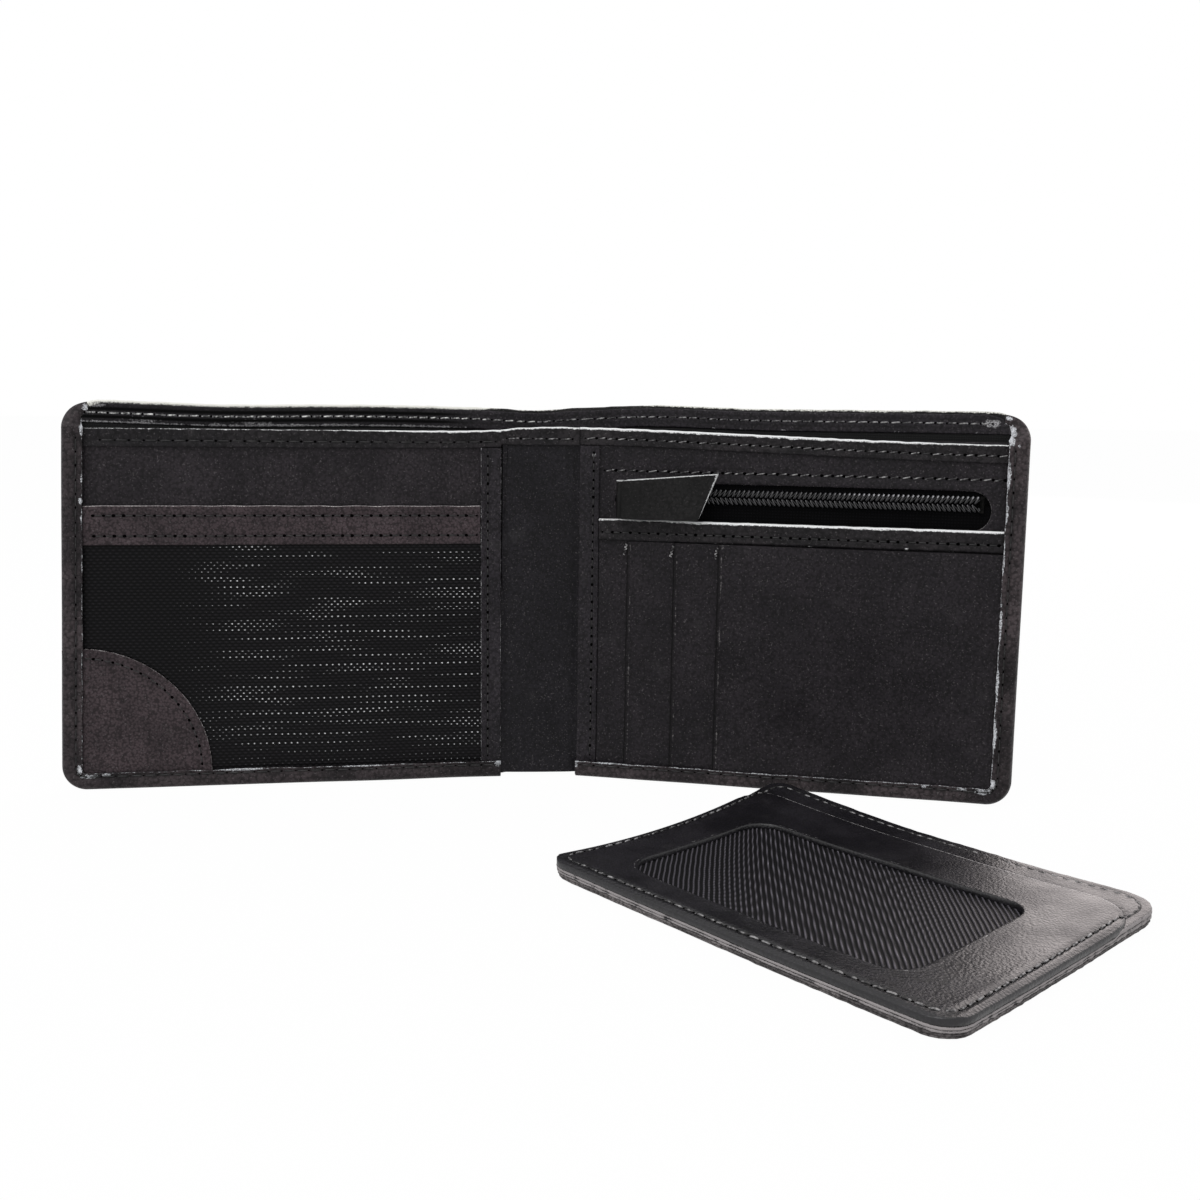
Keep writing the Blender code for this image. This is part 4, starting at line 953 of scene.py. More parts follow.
# The divider hem's pale top line is wear and a painted highlight.
turned_hem(
    "right_hem", right, "right_divider_hem", hem_leather_with_highlight, [hem_row], (1.5 * MM, 4 * MM),
    ["right_hem_row"], 2.5 * MM, right_rise, grey_thread,
    dict(slant=0.26 * MM, thickness=0.30 * MM, hole=0.44 * MM), steps=16, swell=0.25 * MM, fray=0.05 * MM,
    seed=11, fade=0.60 * MM, white=lambda u: 2.1 - 0.80 * ramp(u, 60, 40),
)
inner_strip(right, 3.7 * MM, 1.3 * MM, 0.10 * MM, 0.72, 0.5 * MM, 2.2 * MM, 0.50 * MM)
leaf("front_pocket_sheet", right, "front_pocket_panel", panel_leather, steps=30)
hem_row = span("front_pocket_band", right).v1 - 3.3 * MM
# The pocket's pale top line is wear and a painted highlight.
turned_hem(
    "front_pocket_hem", right, "front_pocket_band", hem_leather_with_highlight, [hem_row], (1 * MM, 5.5 * MM),
    ["front_pocket_row"], 2.3 * MM, stitches=dict(hole=0.50 * MM), steps=16, swell=0.12 * MM,
    fray=0.04 * MM, seed=12, fade=0.60 * MM, white=lambda u: 1.4 + 0.7 * ramp(u, 20, 12),
)
TACK_STITCHES = 8
TACK_TOP = 60.9 * MM
for number in (1, 2, 3):
    node = f"card_pocket_{number}"
    # Card pockets: painted shade along their free edges and a painted highlight line beside it.
    _, s = leaf(
        node + "_sheet", right, node, panel_leather, along="v", worn="low", spacing=1.2 * MM, steps=34,
        swell=0.20 * MM, fray=0.05 * MM, seed=20 + number, fade=0.5 * MM, white=0.92, shade_and_highlight_lines=True,
    )
    count = np.arange(TACK_STITCHES)
    tack_u = s.u0 + (np.tile([-0.55, 0.45], TACK_STITCHES // 2) - 0.1 * count) * MM
    wing_row(
        node + "_tack", right, tack_u, TACK_TOP - count * 0.42 * MM, s.d0 - 0.12 * MM, grey_thread,
        thickness=0.26 * MM, hole=0.1 * MM,
    )
coin_lining, s = leaf(
    "coin_lining_sheet", right, "coin_pocket_lining", lining_cloth, spacing=2.5 * MM, slot="lining_fabric",
    white=0.0,
)
print("right wing sheets made")


# %% [markdown]
# ## Closed outlines
# The zip slot, the holder's sheets and its window are rounded rectangles. Two such outlines with the same
# count of points match point for point, so the leather between them is again a simple grid.


# %% Rounded outlines and rings
def round_outline(a0, a1, b0, b1, radii, side_steps, corner_steps=7):
    """A rounded rectangle, anticlockwise from its lower left corner: straight sides and quarter circles."""
    corners = ((a0, b0, 180), (a1, b0, 270), (a1, b1, 0), (a0, b1, 90))
    parts = []
    for k, (a, b, begin) in enumerate(corners):
        radius = radii[k]
        centre_a = a + radius * (1 if a == a0 else -1)
        centre_b = b + radius * (1 if b == b0 else -1)
        angle = np.radians(begin + np.linspace(0, 90, corner_steps))
        quarter = radius * np.stack([np.cos(angle), np.sin(angle)], axis=1)
        parts.append(np.array([centre_a, centre_b]) + quarter)
    outline = []
    for k in range(4):
        start, stop = parts[k][-1], parts[(k + 1) % 4][0]
        share = (np.arange(side_steps) + 1) / (side_steps + 1)
        outline += [parts[k], start + (stop - start) * share[:, None]]
    return np.concatenate(outline)


def ring_section(gap, thick, radius=None, near=(0.0, 0.25, 0.6, 1.0, 1.5, 2.1), middle_steps=8):
    """A closed loop between two outlines gap apart: shares across, depth from the front, and distances.

    radius is the rounding of its rims, which is half the thickness if not given.
    """
    radius = radius or thick / 2
    near = np.array(near) * MM
    gap = gap[:, None]
    reach = gap - 2 * radius
    even = (np.arange(middle_steps) + 0.5) / middle_steps
    step = np.minimum(near, reach * 0.3)
    mid = step[:, -1:] + (reach - 2 * step[:, -1:]) * even
    front = radius + np.concatenate([step, mid, reach - step[:, ::-1]], axis=1)
    back = front[:, ::-2]
    angle = np.radians([-60, -20, 20, 60])
    outer_rim = gap - radius + radius * np.cos(angle)
    inner_rim = radius - radius * np.cos(angle) + gap * 0
    across = np.concatenate([front, outer_rim, back, inner_rim], axis=1)
    rise = radius * (1 + np.sin(angle)) + (thick - 2 * radius) * (angle > 0)
    drop = np.concatenate([
        front[0] * 0, rise, back[0] * 0 + thick, rise[::-1],
    ])
    return across / gap, np.broadcast_to(drop, across.shape), across, gap - across


def ring_points(inner, outer, share):
    """Points between two matching outlines: inner plus share of the way to outer."""
    return inner[:, None] + (outer - inner)[:, None] * share[..., None]


# %% Zip panel with its slot
panel_span = span("zip_panel", right)
SLOT_LOW, SLOT_HIGH = 66.6 * MM, 76.2 * MM
slot_start, slot_end = 9.2 * MM, right.length - 8.6 * MM
SLOT_ROUND = 4.7 * MM
SLOT_STEPS = 60
slot_outline = round_outline(slot_start, slot_end, SLOT_LOW, SLOT_HIGH, [SLOT_ROUND] * 4, SLOT_STEPS)
panel_outline = round_outline(
    panel_span.u0, panel_span.u1 - 0.4 * MM, panel_span.v0, panel_span.v1,
    [CORNER_RADIUS] * 2 + [0.5 * MM] * 2, SLOT_STEPS,
)
gap = np.linalg.norm(panel_outline - slot_outline, axis=1)
share, drop, from_slot, _ = ring_section(gap, panel_span.thick)
places = ring_points(slot_outline, panel_outline, share)
BOX_ROW, BOX_PITCH = 79.0 * MM, 2.7 * MM
from_row, front = places[..., 1] - BOX_ROW, 1 - drop / panel_span.thick
bulge = 0.16 * MM * bell(from_slot - 0.9 * MM, 0.9 * MM) - groove(from_row, places[..., 0], BOX_PITCH)
slot_wear = 0.8 + 0.35 * ramp(places[..., 0], 90, 6)
# shade is painted shade along the box stitch groove.
zip_panel = grid_mesh(
    "zip_panel_sheet", on_wing(right, places[..., 0], panel_span.d0 + drop - bulge * front, places[..., 1]),
    wrap_rows=True, edge=near_edge(from_slot, 0.35 * MM, slot_wear), uv=places,
    shade=0.3 * bell(from_row, 0.55 * MM) * front,
)
dress(zip_panel, panel_leather, "right_wing", replaces=("zip_panel",))
wing_row(
    "zip_box_row", right, holes_between(6.4 * MM, right.length - 6 * MM, BOX_PITCH), BOX_ROW,
    panel_span.d0 - 0.02 * MM, grey_thread, thickness=0.34 * MM, slant=0.30 * MM, hole=0.46 * MM,
)
print("zip panel ring of", len(slot_outline), "stations")

# %% [markdown]
# ## The zip
# A nylon zip is a coil: one filament wound round and round, flattened, with each turn leaning. Two such
# coils mesh along the middle and are sewn to woven tapes. Each coil is a tube carried along a flattened
# helix.

# %% Tapes and coils
for name in ("upper", "lower"):
    leaf(
        f"tape_{name}", right, f"zip_tape_{name}", tape_cloth_in_shade, worn="", spacing=1.5 * MM, steps=16,
        slot="zip_tape", relief=lambda u, v: 0.05 * MM * np.sin(2 * math.pi * v / (0.9 * MM)),
    )
COIL_PITCH = 1.15 * MM
COIL_WIRE = 0.235 * MM
COIL_MESH = 0.50 * MM
COIL_SIDES = 6
COIL_STATIONS = 14


def helix_tube(start, stop, centre_v, centre_depth, reach_v, reach_depth, radius, hand, phase):
    """A tube along a flattened helix: its centre turns on an ellipse as it runs along the zip."""
    turns = (stop - start) / COIL_PITCH
    t = np.linspace(0, turns, int(turns * COIL_STATIONS) + 1)
    angle = 2 * math.pi * t + phase
    lean = 0.55 * COIL_PITCH * np.cos(angle)
    line = np.stack([
        start + COIL_PITCH * t + lean,
        centre_depth - reach_depth * np.sin(angle),
        centre_v + hand * reach_v * np.cos(angle),
    ], axis=1)
    ahead = unit(np.gradient(line, axis=0))
    away = line - np.array([0, centre_depth, centre_v])
    away[:, 0] = 0
    away = unit(away - (away * ahead).sum(1, keepdims=True) * ahead)
    beside = np.cross(ahead, away)
    ring = np.radians(np.arange(COIL_SIDES) * 360 / COIL_SIDES)
    return line[:, None] + radius * (
        away[:, None] * np.cos(ring)[None, :, None] + beside[:, None] * np.sin(ring)[None, :, None]
    )


for name, hand in (("upper", 1), ("lower", -1)):
    node = f"zip_coil_{name}"
    s = span(node, right)
    inner, outer = (s.v0, s.v1) if hand > 0 else (s.v1, s.v0)
    inner = inner - hand * COIL_MESH
    tube = helix_tube(
        s.u0, s.u1, (inner + outer) / 2, (s.d0 + s.d1) / 2, abs(outer - inner) / 2 - COIL_WIRE,
        s.thick / 2 - COIL_WIRE, COIL_WIRE, hand, 0.0 if hand > 0 else math.pi,
    )
    # Painted glints on the upper coil's crests, towards the wing's outer end.
    glint = bell(tube[..., 2] - outer + 0.25 * MM, 0.18 * MM) * bell(tube[..., 1] - s.d0, 0.38 * MM)
    glint = 0.9 * glint * (hand > 0) * ramp(tube[..., 0], 58, 16)
    coil = grid_mesh(f"coil_{name}", on_wing(right, tube[..., 0], tube[..., 1], tube[..., 2]), edge=glint)
    dress(coil, coil_nylon, "right_wing", replaces=(node,))
print("coils made:", int((s.u1 - s.u0) / COIL_PITCH), "turns each")

# %% [markdown]
# ## Left wing: the window pocket
# Behind the left wing's band lies a fine knitted net, with a quarter-round leather patch over its outer
# corner. The net is knitted in rows, and each stitch stands a little proud and catches the light, so it is
# modelled as rows of small crests, every second row moved by half a stitch. The crests also carry painted
# glints, fewer towards the wing's outer edge and its bottom.

# %% Left wing sheets
leaf("left_bill_divider_sheet", left, "left_bill_divider", left_lit_panel_leather, steps=30, tilt=left_rise)
hem_row = span("left_divider_hem", left).v0 + 1.5 * MM
# The divider hem's pale top line is wear and a painted highlight, fainter away from the fold.
turned_hem(
    "left_hem", left, "left_divider_hem", hem_leather_with_highlight, [hem_row], (1.5 * MM, 8 * MM), ["left_hem_row"],
    tilt=left_rise, steps=16, swell=0.18 * MM, fray=0.04 * MM, seed=13, fade=0.50 * MM,
    white=lambda u: 0.94 + 1.05 * smooth(1 - (u - 8 * MM) / (44 * MM)),
)
inner_strip(left, 3.5 * MM, 0.5 * MM, 0.08 * MM, 0.90, 1.5 * MM, 2.3 * MM, 0.46 * MM)
band = span("window_top_band", left)
# The band's pale top edge is wear and a painted highlight.
turned_hem(
    "window_band", left, "window_top_band", warm_leather, (band.v1 - 2.4 * MM, band.v0 + 2.2 * MM),
    (1 * MM, 7 * MM), ["window_band_row_1", "window_band_row_2"], 2.3 * MM, stitches=dict(hole=0.52 * MM),
    steps=20, swell=0.12 * MM, fray=0.05 * MM, seed=14, white=1.2, fade=0.3 * MM,
)
print("left wing sheets made")

# %% Corner patch
patch_span = span("window_corner_patch", left)
PATCH_RADIUS = 30.3 * MM
patch_centre = np.array([left.length - 5.5 * MM, 5.0 * MM])
patch_root = np.array([left.length - 2.0 * MM, 2.0 * MM])
turn = np.radians(np.linspace(83, 187, 90))
arc = patch_centre + PATCH_RADIUS * np.stack([np.cos(turn), np.sin(turn)], axis=1)
reach = np.linalg.norm(arc - patch_root, axis=1)
across, drop, _, from_rim = thin_loop(reach * 0 + 1.5 * MM, reach, patch_span.thick, 26)
places = patch_root + (arc - patch_root)[:, None] * (across / reach[:, None])[..., None]
PATCH_ROW_INSET = 2.3 * MM
from_row = from_rim - PATCH_ROW_INSET
depth = patch_span.d0 + drop + groove(from_row, turn[:, None] * PATCH_RADIUS)
# shade is painted shade along the patch's stitch groove.
patch = grid_mesh(
    "window_patch", on_wing(left, places[..., 0], depth, places[..., 1]),
    edge=near_edge(from_rim, 0.25 * MM, 0.95), uv=places,
    shade=0.22 * bell(from_row, 0.5 * MM) * (1 - drop / patch_span.thick),
)
dress(patch, warm_leather, "left_wing", replaces=("window_corner_patch",))
hole_turn = np.radians(np.linspace(92, 178, 19))
row_arc = np.stack([np.cos(hole_turn), np.sin(hole_turn)])
row_u, row_v = patch_centre[:, None] + (PATCH_RADIUS - PATCH_ROW_INSET) * row_arc
wing_row("window_patch_row", left, row_u, row_v, patch_span.d0 + THREAD_SINK, hole=0.50 * MM)
print("patch made")

# %% Window net
NET_ROW = 0.76 * MM
NET_STITCH = 1.5 * MM
NET_CREST = 0.20 * MM
NET_BACK = 0.10 * MM
net_span = span("window_net", left)
net_u = np.arange(net_span.u0 + 2 * MM, left.length - 3.0 * MM, NET_STITCH / 4)
net_v0, net_v1 = 2.5 * MM, net_span.v1
rows_high = int((net_v1 - net_v0) / NET_ROW)
front_v = net_v0 + np.arange(rows_high * 3 + 1) * NET_ROW / 3
back_v = np.linspace(front_v[-1], front_v[0], 5)
net_loop = np.concatenate([front_v, back_v])
u, v = np.broadcast_arrays(net_u[:, None], net_loop[None, :])
row_number = np.floor((v - net_v0) / NET_ROW + 1e-6)
across_row = np.sin(math.pi * ((v - net_v0) / NET_ROW - row_number)) ** 2 / 0.75
shift = np.where(row_number % 2 > 0, 0.5, 0.0)
along_row = 0.5 + 0.5 * np.cos(2 * math.pi * (u / NET_STITCH + shift))
is_front = (np.arange(len(net_loop)) < len(front_v)).astype(float)[None, :] + u * 0
crest = across_row * (0.30 + 0.70 * along_row) * is_front
depth = net_span.d0 + 0.14 * MM - NET_CREST * crest + (1 - is_front) * NET_BACK
lean_in = np.minimum(u, outer_edge(left, v, 1.2 * MM))
# Painted glints fade towards the outer edge and the bottom.
glint_falloff = 1 - 0.25 * ramp(u, 62, 24) - 0.15 * smooth(1 - (v - 6 * MM) / (6 * MM))
net = grid_mesh(
    "window_net_knit", on_wing(left, lean_in, depth, v), edge=crest * glint_falloff, uv=np.stack([u, v], axis=-1),
)
dress(net, net_cloth, "left_wing", replaces=("window_net",))
print("net:", len(net.data.polygons), "faces")

# %% [markdown]
# ## The edge bindings
# A strip of leather is folded round the bottom and outer edges of each wing and sewn through everything.
# It is a profile carried along a path: the path follows the wing's outline, and the profile is a thin
# channel, soft and rounded at the edge, pressed in along the stitches.

# %% Bindings
BINDING_THICK = 0.55 * MM
BINDING_SOFT = 1.5 * MM
ROW_INSET = 3.6 * MM
ROW_TOP = 86 * MM
FLANGE_SHARES = np.array([1.0, 0.975, 0.93, 0.86, 0.78, 0.70, 0.62, 0.54, 0.46])
LOWER_RADIUS = 6.2 * MM
UPPER_RADIUS = 6.6 * MM


def outline_path(wing, spacing=0.6 * MM):
    """Stations along a wing's edge, with inward normals: bottom, round corner, side and round top."""
    bottom = steps_between(0.2 * MM, wing.length - LOWER_RADIUS, spacing)
    lower = np.radians(np.linspace(-90, 0, 26)[1:-1])
    side = steps_between(LOWER_RADIUS, HEIGHT - UPPER_RADIUS, spacing)
    upper = np.radians(np.linspace(0, 80, 24)[1:])
    u = np.concatenate([
        bottom, wing.length - LOWER_RADIUS * (1 - np.cos(lower)), np.full_like(side, wing.length),
        wing.length - UPPER_RADIUS * (1 - np.cos(upper)),
    ])
    sink = 0.60 * MM * smooth((np.degrees(upper) - 25) / 55)
    v = np.concatenate([
        bottom * 0, LOWER_RADIUS * (1 + np.sin(lower)), side,
        HEIGHT - UPPER_RADIUS * (1 - np.sin(upper)) - sink,
    ])
    inward_u = np.concatenate([bottom * 0, -np.cos(lower), side * 0 - 1, -np.cos(upper)])
    inward_v = np.concatenate([bottom * 0 + 1, -np.sin(lower), side * 0, -np.sin(upper)])
    width = np.concatenate([
        np.full_like(bottom, BINDING_HEIGHT), np.linspace(BINDING_HEIGHT, BINDING_WIDTH, len(lower)),
        np.full_like(side, BINDING_WIDTH), np.linspace(BINDING_WIDTH, 2.0 * MM, len(upper)),
    ])
    run = np.concatenate([[0], np.cumsum(np.hypot(np.diff(u), np.diff(v)))])
    return u - wing.lean * v, v, inward_u, inward_v, width, run


def binding(wing, seed, worn):
    """The folded strip: front flange, round edge, back flange, and the same again on the inside.

    Above the divider there are no pockets under the front flange, so it steps back onto the cover.
    """
    name, node = f"{wing.name}_binding", f"{wing.name}_edge_binding"
    s = span(node, wing)
    total = s.thick
    u, v, inward_u, inward_v, width, run = outline_path(wing)
    width = width + 0.06 * MM * waves(run, run * 0, 9 * MM, seed)
    width = width + 0.04 * MM * waves(run, run * 0, 1.5 * MM, seed + 1)
    cover_front = span(f"{wing.name}_cover_leather", wing).d0
    face = (cover_front - s.d0 - BINDING_THICK) * ramp(v, 88.2, 5.5)
    face, left_over = face[:, None], total - face[:, None]
    flange_inset = width[:, None] * FLANGE_SHARES
    bend = np.radians(np.linspace(-90, 90, 13))
    bend_inset = BINDING_SOFT * (1 - np.cos(bend)) + 0 * run[:, None]
    bend_depth = face + left_over / 2 * (1 + np.sin(bend))
    rim = np.array([0.3, 0.7]) * BINDING_THICK
    outer_inset = np.concatenate([flange_inset, bend_inset, flange_inset[:, ::-1]], axis=1)
    outer_depth = np.concatenate([flange_inset * 0 + face, bend_depth, flange_inset * 0 + total], axis=1)
    row = groove(flange_inset - ROW_INSET, run[:, None], PITCH, 0.18 * MM, 0.50 * MM)
    swell = 0.14 * MM * bell(flange_inset - 1.9 * MM, 1.0 * MM)
    pucker = 0.06 * MM * np.cos(2 * math.pi * run[:, None] / PITCH)
    dent = row - swell + pucker * bell(flange_inset - 2.5 * MM, 0.9 * MM)
    outer_depth = outer_depth + np.concatenate([dent, bend_depth * 0, -dent[:, ::-1]], axis=1)
    inner_inset = np.concatenate([flange_inset, bend_inset + BINDING_THICK, flange_inset[:, ::-1]], axis=1)
    inner_bend = face + BINDING_THICK + (left_over - 2 * BINDING_THICK) / 2 * (1 + np.sin(bend))
    inner_depth = np.concatenate([
        flange_inset * 0 + face + BINDING_THICK, inner_bend, flange_inset * 0 + total - BINDING_THICK,
    ], axis=1)
    back_rim = (width[:, None] + 0.12 * MM) + 0 * rim
    inset = np.concatenate([outer_inset, back_rim, inner_inset[:, ::-1], back_rim], axis=1)
    depth = np.concatenate([
        outer_depth, total - rim + 0 * run[:, None], inner_depth[:, ::-1], face + rim[::-1],
    ], axis=1)
    place_u = u[:, None] + inward_u[:, None] * inset
    place_v = v[:, None] + inward_v[:, None] * inset
    in_front = smooth((face + left_over / 2 - depth) / (0.3 * MM))
    spots = rubbed(wing.side * (HALF + place_u + wing.lean * place_v), place_v, BINDING_SPOTS)
    edge = np.maximum(near_edge(np.abs(width[:, None] - inset), 0.35 * MM, worn), in_front * spots)
    # Painted shade along the stitch groove, up to the top of the row.
    shade = 0.7 * bell(np.minimum(inset, width[:, None]) - ROW_INSET, 0.45 * MM)
    shade = shade * (v[:, None] < ROW_TOP + 1 * MM)
    made = grid_mesh(name, on_wing(wing, place_u, s.d0 + depth, place_v), edge=edge, shade=shade)
    dress(made, binding_leather, wing.body, replaces=(node,))
    upper = len(v) // 2
    hole_run = holes_between(1.5 * MM, np.interp(ROW_TOP, v[upper:], run[upper:]))
    path_u, path_v, in_u, in_v = (np.interp(hole_run, run, values) for values in (u, v, inward_u, inward_v))
    hole_u, hole_v = path_u + in_u * ROW_INSET, path_v + in_v * ROW_INSET
    wing_row(name + "_front_row", wing, hole_u, hole_v, s.d0 + 0.10 * MM, hole=0.34 * MM)
    wing_row(name + "_back_row", wing, hole_u, hole_v, s.d1 - 0.10 * MM, back=True)


binding(right, 31, 0.96)
binding(left, 41, 0.86)
print("bindings made")

# %% [markdown]
# ## The cover, its hem and the linings
# The outer leather is one sheet from edge to edge, bowed away from the divider to hold notes. It is made in
# two halves that meet in the middle of the spine, because each half then crosses one fold only and is bent
# over it. Its top is turned over to the inside, and a fabric lining hides the rough side.

# %% Halves that cross a fold
COVER_THICK = 0.8 * MM
LINING_THICK = 0.2 * MM
COVER_CORNER = 7.8 * MM


def half_stations(stop):
    """Places across half the wallet: fine over the fold and at the outer corner, and even between."""
    parts = [np.linspace(0, HALF - EASE, 6)[:-1], np.linspace(HALF - EASE, HALF + EASE, 12)]
    last = HALF + stop
    if stop > 20 * MM:
        parts += [steps_between(HALF + EASE, last - 9 * MM, 1.6 * MM)[1:-1]]
        parts += [last - 9 * MM * (1 - np.sin(np.linspace(0, math.pi / 2, 18)))]
    else:
        parts += [steps_between(HALF + EASE, last, 0.8 * MM)[1:]]
    return np.concatenate(parts)


def half_sheet(
    name, wing, depth_at, low_at, high_at, thick, material, stop, replaces, steps=40,
    back_steps=40, fray=0.0, seed=1, white=0.0, fade=0.45 * MM, marks=None,
):
    """Half of a sheet that crosses the spine, from the middle outwards, bent over one fold.

    marks is a function of the place that gives more wear and shade on its front.
    """
    x = half_stations(stop)
    low, high = low_at(x), high_at(x) + fray * waves(x, x * 0, 4 * MM, seed)
    v, drop, _, distance = thin_loop(low, high, thick, steps, back_steps=back_steps)
    out = np.clip((x - HALF) / stop, 0, 1)[:, None]
    place = wing.side * (x[:, None] - out * wing.lean * v)
    strength = white(wing.side * x)[:, None] if callable(white) else white
    front = 1 - drop / np.max(thick)
    wear, shade = marks(place, v) if marks else (0.0, 0.0)
    edge = np.maximum(near_edge(distance, fade, strength), front * np.maximum(rubbed(place, v), wear))
    uv = np.stack([place + 0 * v, v], axis=-1)
    points = fold(place, depth_at(place, v) + drop, v, EASE)
    made = grid_mesh(name, points, edge=edge, uv=uv, shade=front * shade)
    dress(made, material, blend=fold_ends(wing), replaces=replaces)
    return made


def stands_for(wing, part):
    """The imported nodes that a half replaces. The left halves also stand for the spine's nodes."""
    return (f"{wing.name}_{part}",) + ((f"spine_{part}",) if wing is left else ())


def fold_ends(wing):
    """The two bodies on either side of one fold, and where the turn starts and ends."""
    start = tuple(wing.fold + wing.side * wing.x * EASE)
    end = tuple(wing.fold - np.array([wing.side * EASE, 0, 0]))
    return ("right_wing", "spine", start, end) if wing is right else ("spine", "left_wing", end, start)


def corner_drop(x, last, radius):
    """How much a round corner takes off the height near the outer end: radius less the circle's height."""
    past = np.clip(x - (last - radius), 0, radius * 0.999)
    return radius - np.sqrt(radius**2 - past**2)


def top_line(x):
    """How far the cover's soft top edge is above its full height at x, negative where it sags."""
    return MM * (
        -0.8 * bell(x + 78 * MM, 24 * MM) - 1.0 * bell(x, 60 * MM) - 0.7 * bell(x + 1 * MM, 9 * MM)
        + 0.9 * bell(x - 27 * MM, 18 * MM)
    )


def cover_top(wing, last, below=0.0):
    """Height of the cover's top: its soft line and a round outer corner, less below."""
    def top(x):
        """The height at x."""
        return HEIGHT - below - corner_drop(x, last, COVER_CORNER) + top_line(wing.side * x)
    return top


def row_marks(x, v):
    """Wear and shade along the cover's stitches: a bare line in a dark band, most on the left wing."""
    from_row = v - (HEIGHT - COVER_ROW) - top_line(x)
    leftward = ramp(-x, 12, 16)
    wear = (0.84 + 0.34 * leftward) * bell(from_row, 0.34 * MM)
    wear = np.maximum(wear, (0.66 + 0.32 * leftward) * bell(from_row + 2.2 * MM, 0.72 * MM))
    dark = bell(from_row - 0.95 * MM, 0.40 * MM) + bell(from_row + 0.95 * MM, 0.40 * MM)
    return wear, (0.45 + 0.5 * leftward) * dark + 0.45 * leftward


def top_wear(x):
    """How bare the cover's top edge is: most on the left wing, and little over the spine."""
    return 2.0 * ramp(-x, 8, 10) + bell(x, 16 * MM) + 1.3 * ramp(x, 16, 14)


COVER_ROW = 2.9 * MM
COVER_HEM_FORWARD = 0.62 * MM
cover_fronts = [span(f"{wing.name}_cover_leather", wing).d0 for wing in (left, right)]
lining_fronts = [span(f"{wing.name}_divider_lining", wing).d0 for wing in (left, right)]


def cover_depth(x, v, before=0.0):
    """Depth of the cover's front, or of a sheet that lies before it."""
    return through(x, v, cover_fronts[0] - before, cover_fronts[1] - before)


def divider_lining_depth(x, v):
    """Depth of the divider's lining, which stands forward at the right wing's top as the divider does."""
    return through(x, v, lining_fronts[0], lining_fronts[1] - TOP_SHIFT * upper_part(v), 0.0)


for wing in (right, left):
    stop = wing.length - SHEET_INSET
    last = HALF + stop
    hem_stop = stop - 1.6 * MM

    def low_cover(x, last=last):
        """The cover's lower edge, which rises with the round outer corner."""
        return np.maximum(1.1 * MM * (x < HALF), SHEET_INSET + corner_drop(x, last, CORNER_RADIUS))

    half_sheet(
        f"{wing.name}_cover", wing, cover_depth, low_cover, cover_top(wing, last), COVER_THICK,
        cover_leather, stop, stands_for(wing, "cover_leather"), steps=46, back_steps=46,
        fray=0.06 * MM, seed=51, white=top_wear, fade=0.8 * MM,
    )
    half_sheet(
        f"{wing.name}_cover_hem", wing, lambda x, v: cover_depth(x, v, COVER_HEM_FORWARD),
        lambda x: HEIGHT - 5.4 * MM + top_line(wing.side * x), cover_top(wing, HALF + hem_stop, 0.7 * MM),
        0.5 * MM, trim_leather, hem_stop, stands_for(wing, "cover_turned_edge"),
        steps=16, back_steps=4, fray=0.06 * MM, seed=52, marks=row_marks,
    )
    row_x = wing.side * holes_between(0.9 * MM, HALF + hem_stop - 7 * MM, 2.6 * MM)
    row_v = HEIGHT - COVER_ROW + top_line(row_x)
    front_at = cover_depth(row_x, row_v, COVER_HEM_FORWARD - 0.03 * MM)
    ends = fold(row_x, front_at, row_v, EASE)
    behind = fold(row_x, front_at + 1 * MM, row_v, EASE)
    stitch_row(
        f"{wing.name}_cover_row", ends, (ends - behind) / MM, None,
        pale_thread if wing is left else grey_thread, thickness=0.42 * MM, slant=0.14 * MM, lift=0.08 * MM,
        blend=fold_ends(wing),
    )
    cover_cloth = half_sheet(
        f"{wing.name}_cover_cloth", wing, lambda x, v: cover_depth(x, v, 0.32 * MM), low_cover,
        lambda x: x * 0 + HEIGHT - 5.6 * MM, LINING_THICK, lining_cloth, stop,
        stands_for(wing, "cover_lining"), steps=30, back_steps=8,
    )
    cloth_top = span(f"{wing.name}_divider_lining", wing).v1 - 0.8 * MM
    divider_cloth = half_sheet(
        f"{wing.name}_divider_cloth", wing, divider_lining_depth, low_cover, lambda x: x * 0 + cloth_top,
        LINING_THICK, lining_cloth, stop, stands_for(wing, "divider_lining"), steps=30,
        back_steps=30,
    )
print("cover halves made")

# %% [markdown]
# ## The spine's inner leather
# Between the strips the divider is a separate piece of leather with its own turned top, a little higher
# than the wings'. It runs under both strips, so it too is made in halves that bend at the folds.

# %% Spine panel and hem
spine_panel = points_of("spine_inner_panel")
spine_front = spine_panel[:, 1].min() - middle[1]
spine_top = spine_panel[:, 2].max()
spine_bottom = spine_panel[:, 2].min()
TUCK = 2.2 * MM


def spine_line(x):
    """Height of the spine leather's top, against its packed height: up to the right, with a slight arch."""
    return MM * (-0.1 + 0.35 * x / HALF + 0.35 * (1 - np.clip(x / HALF, -1, 1) ** 2))


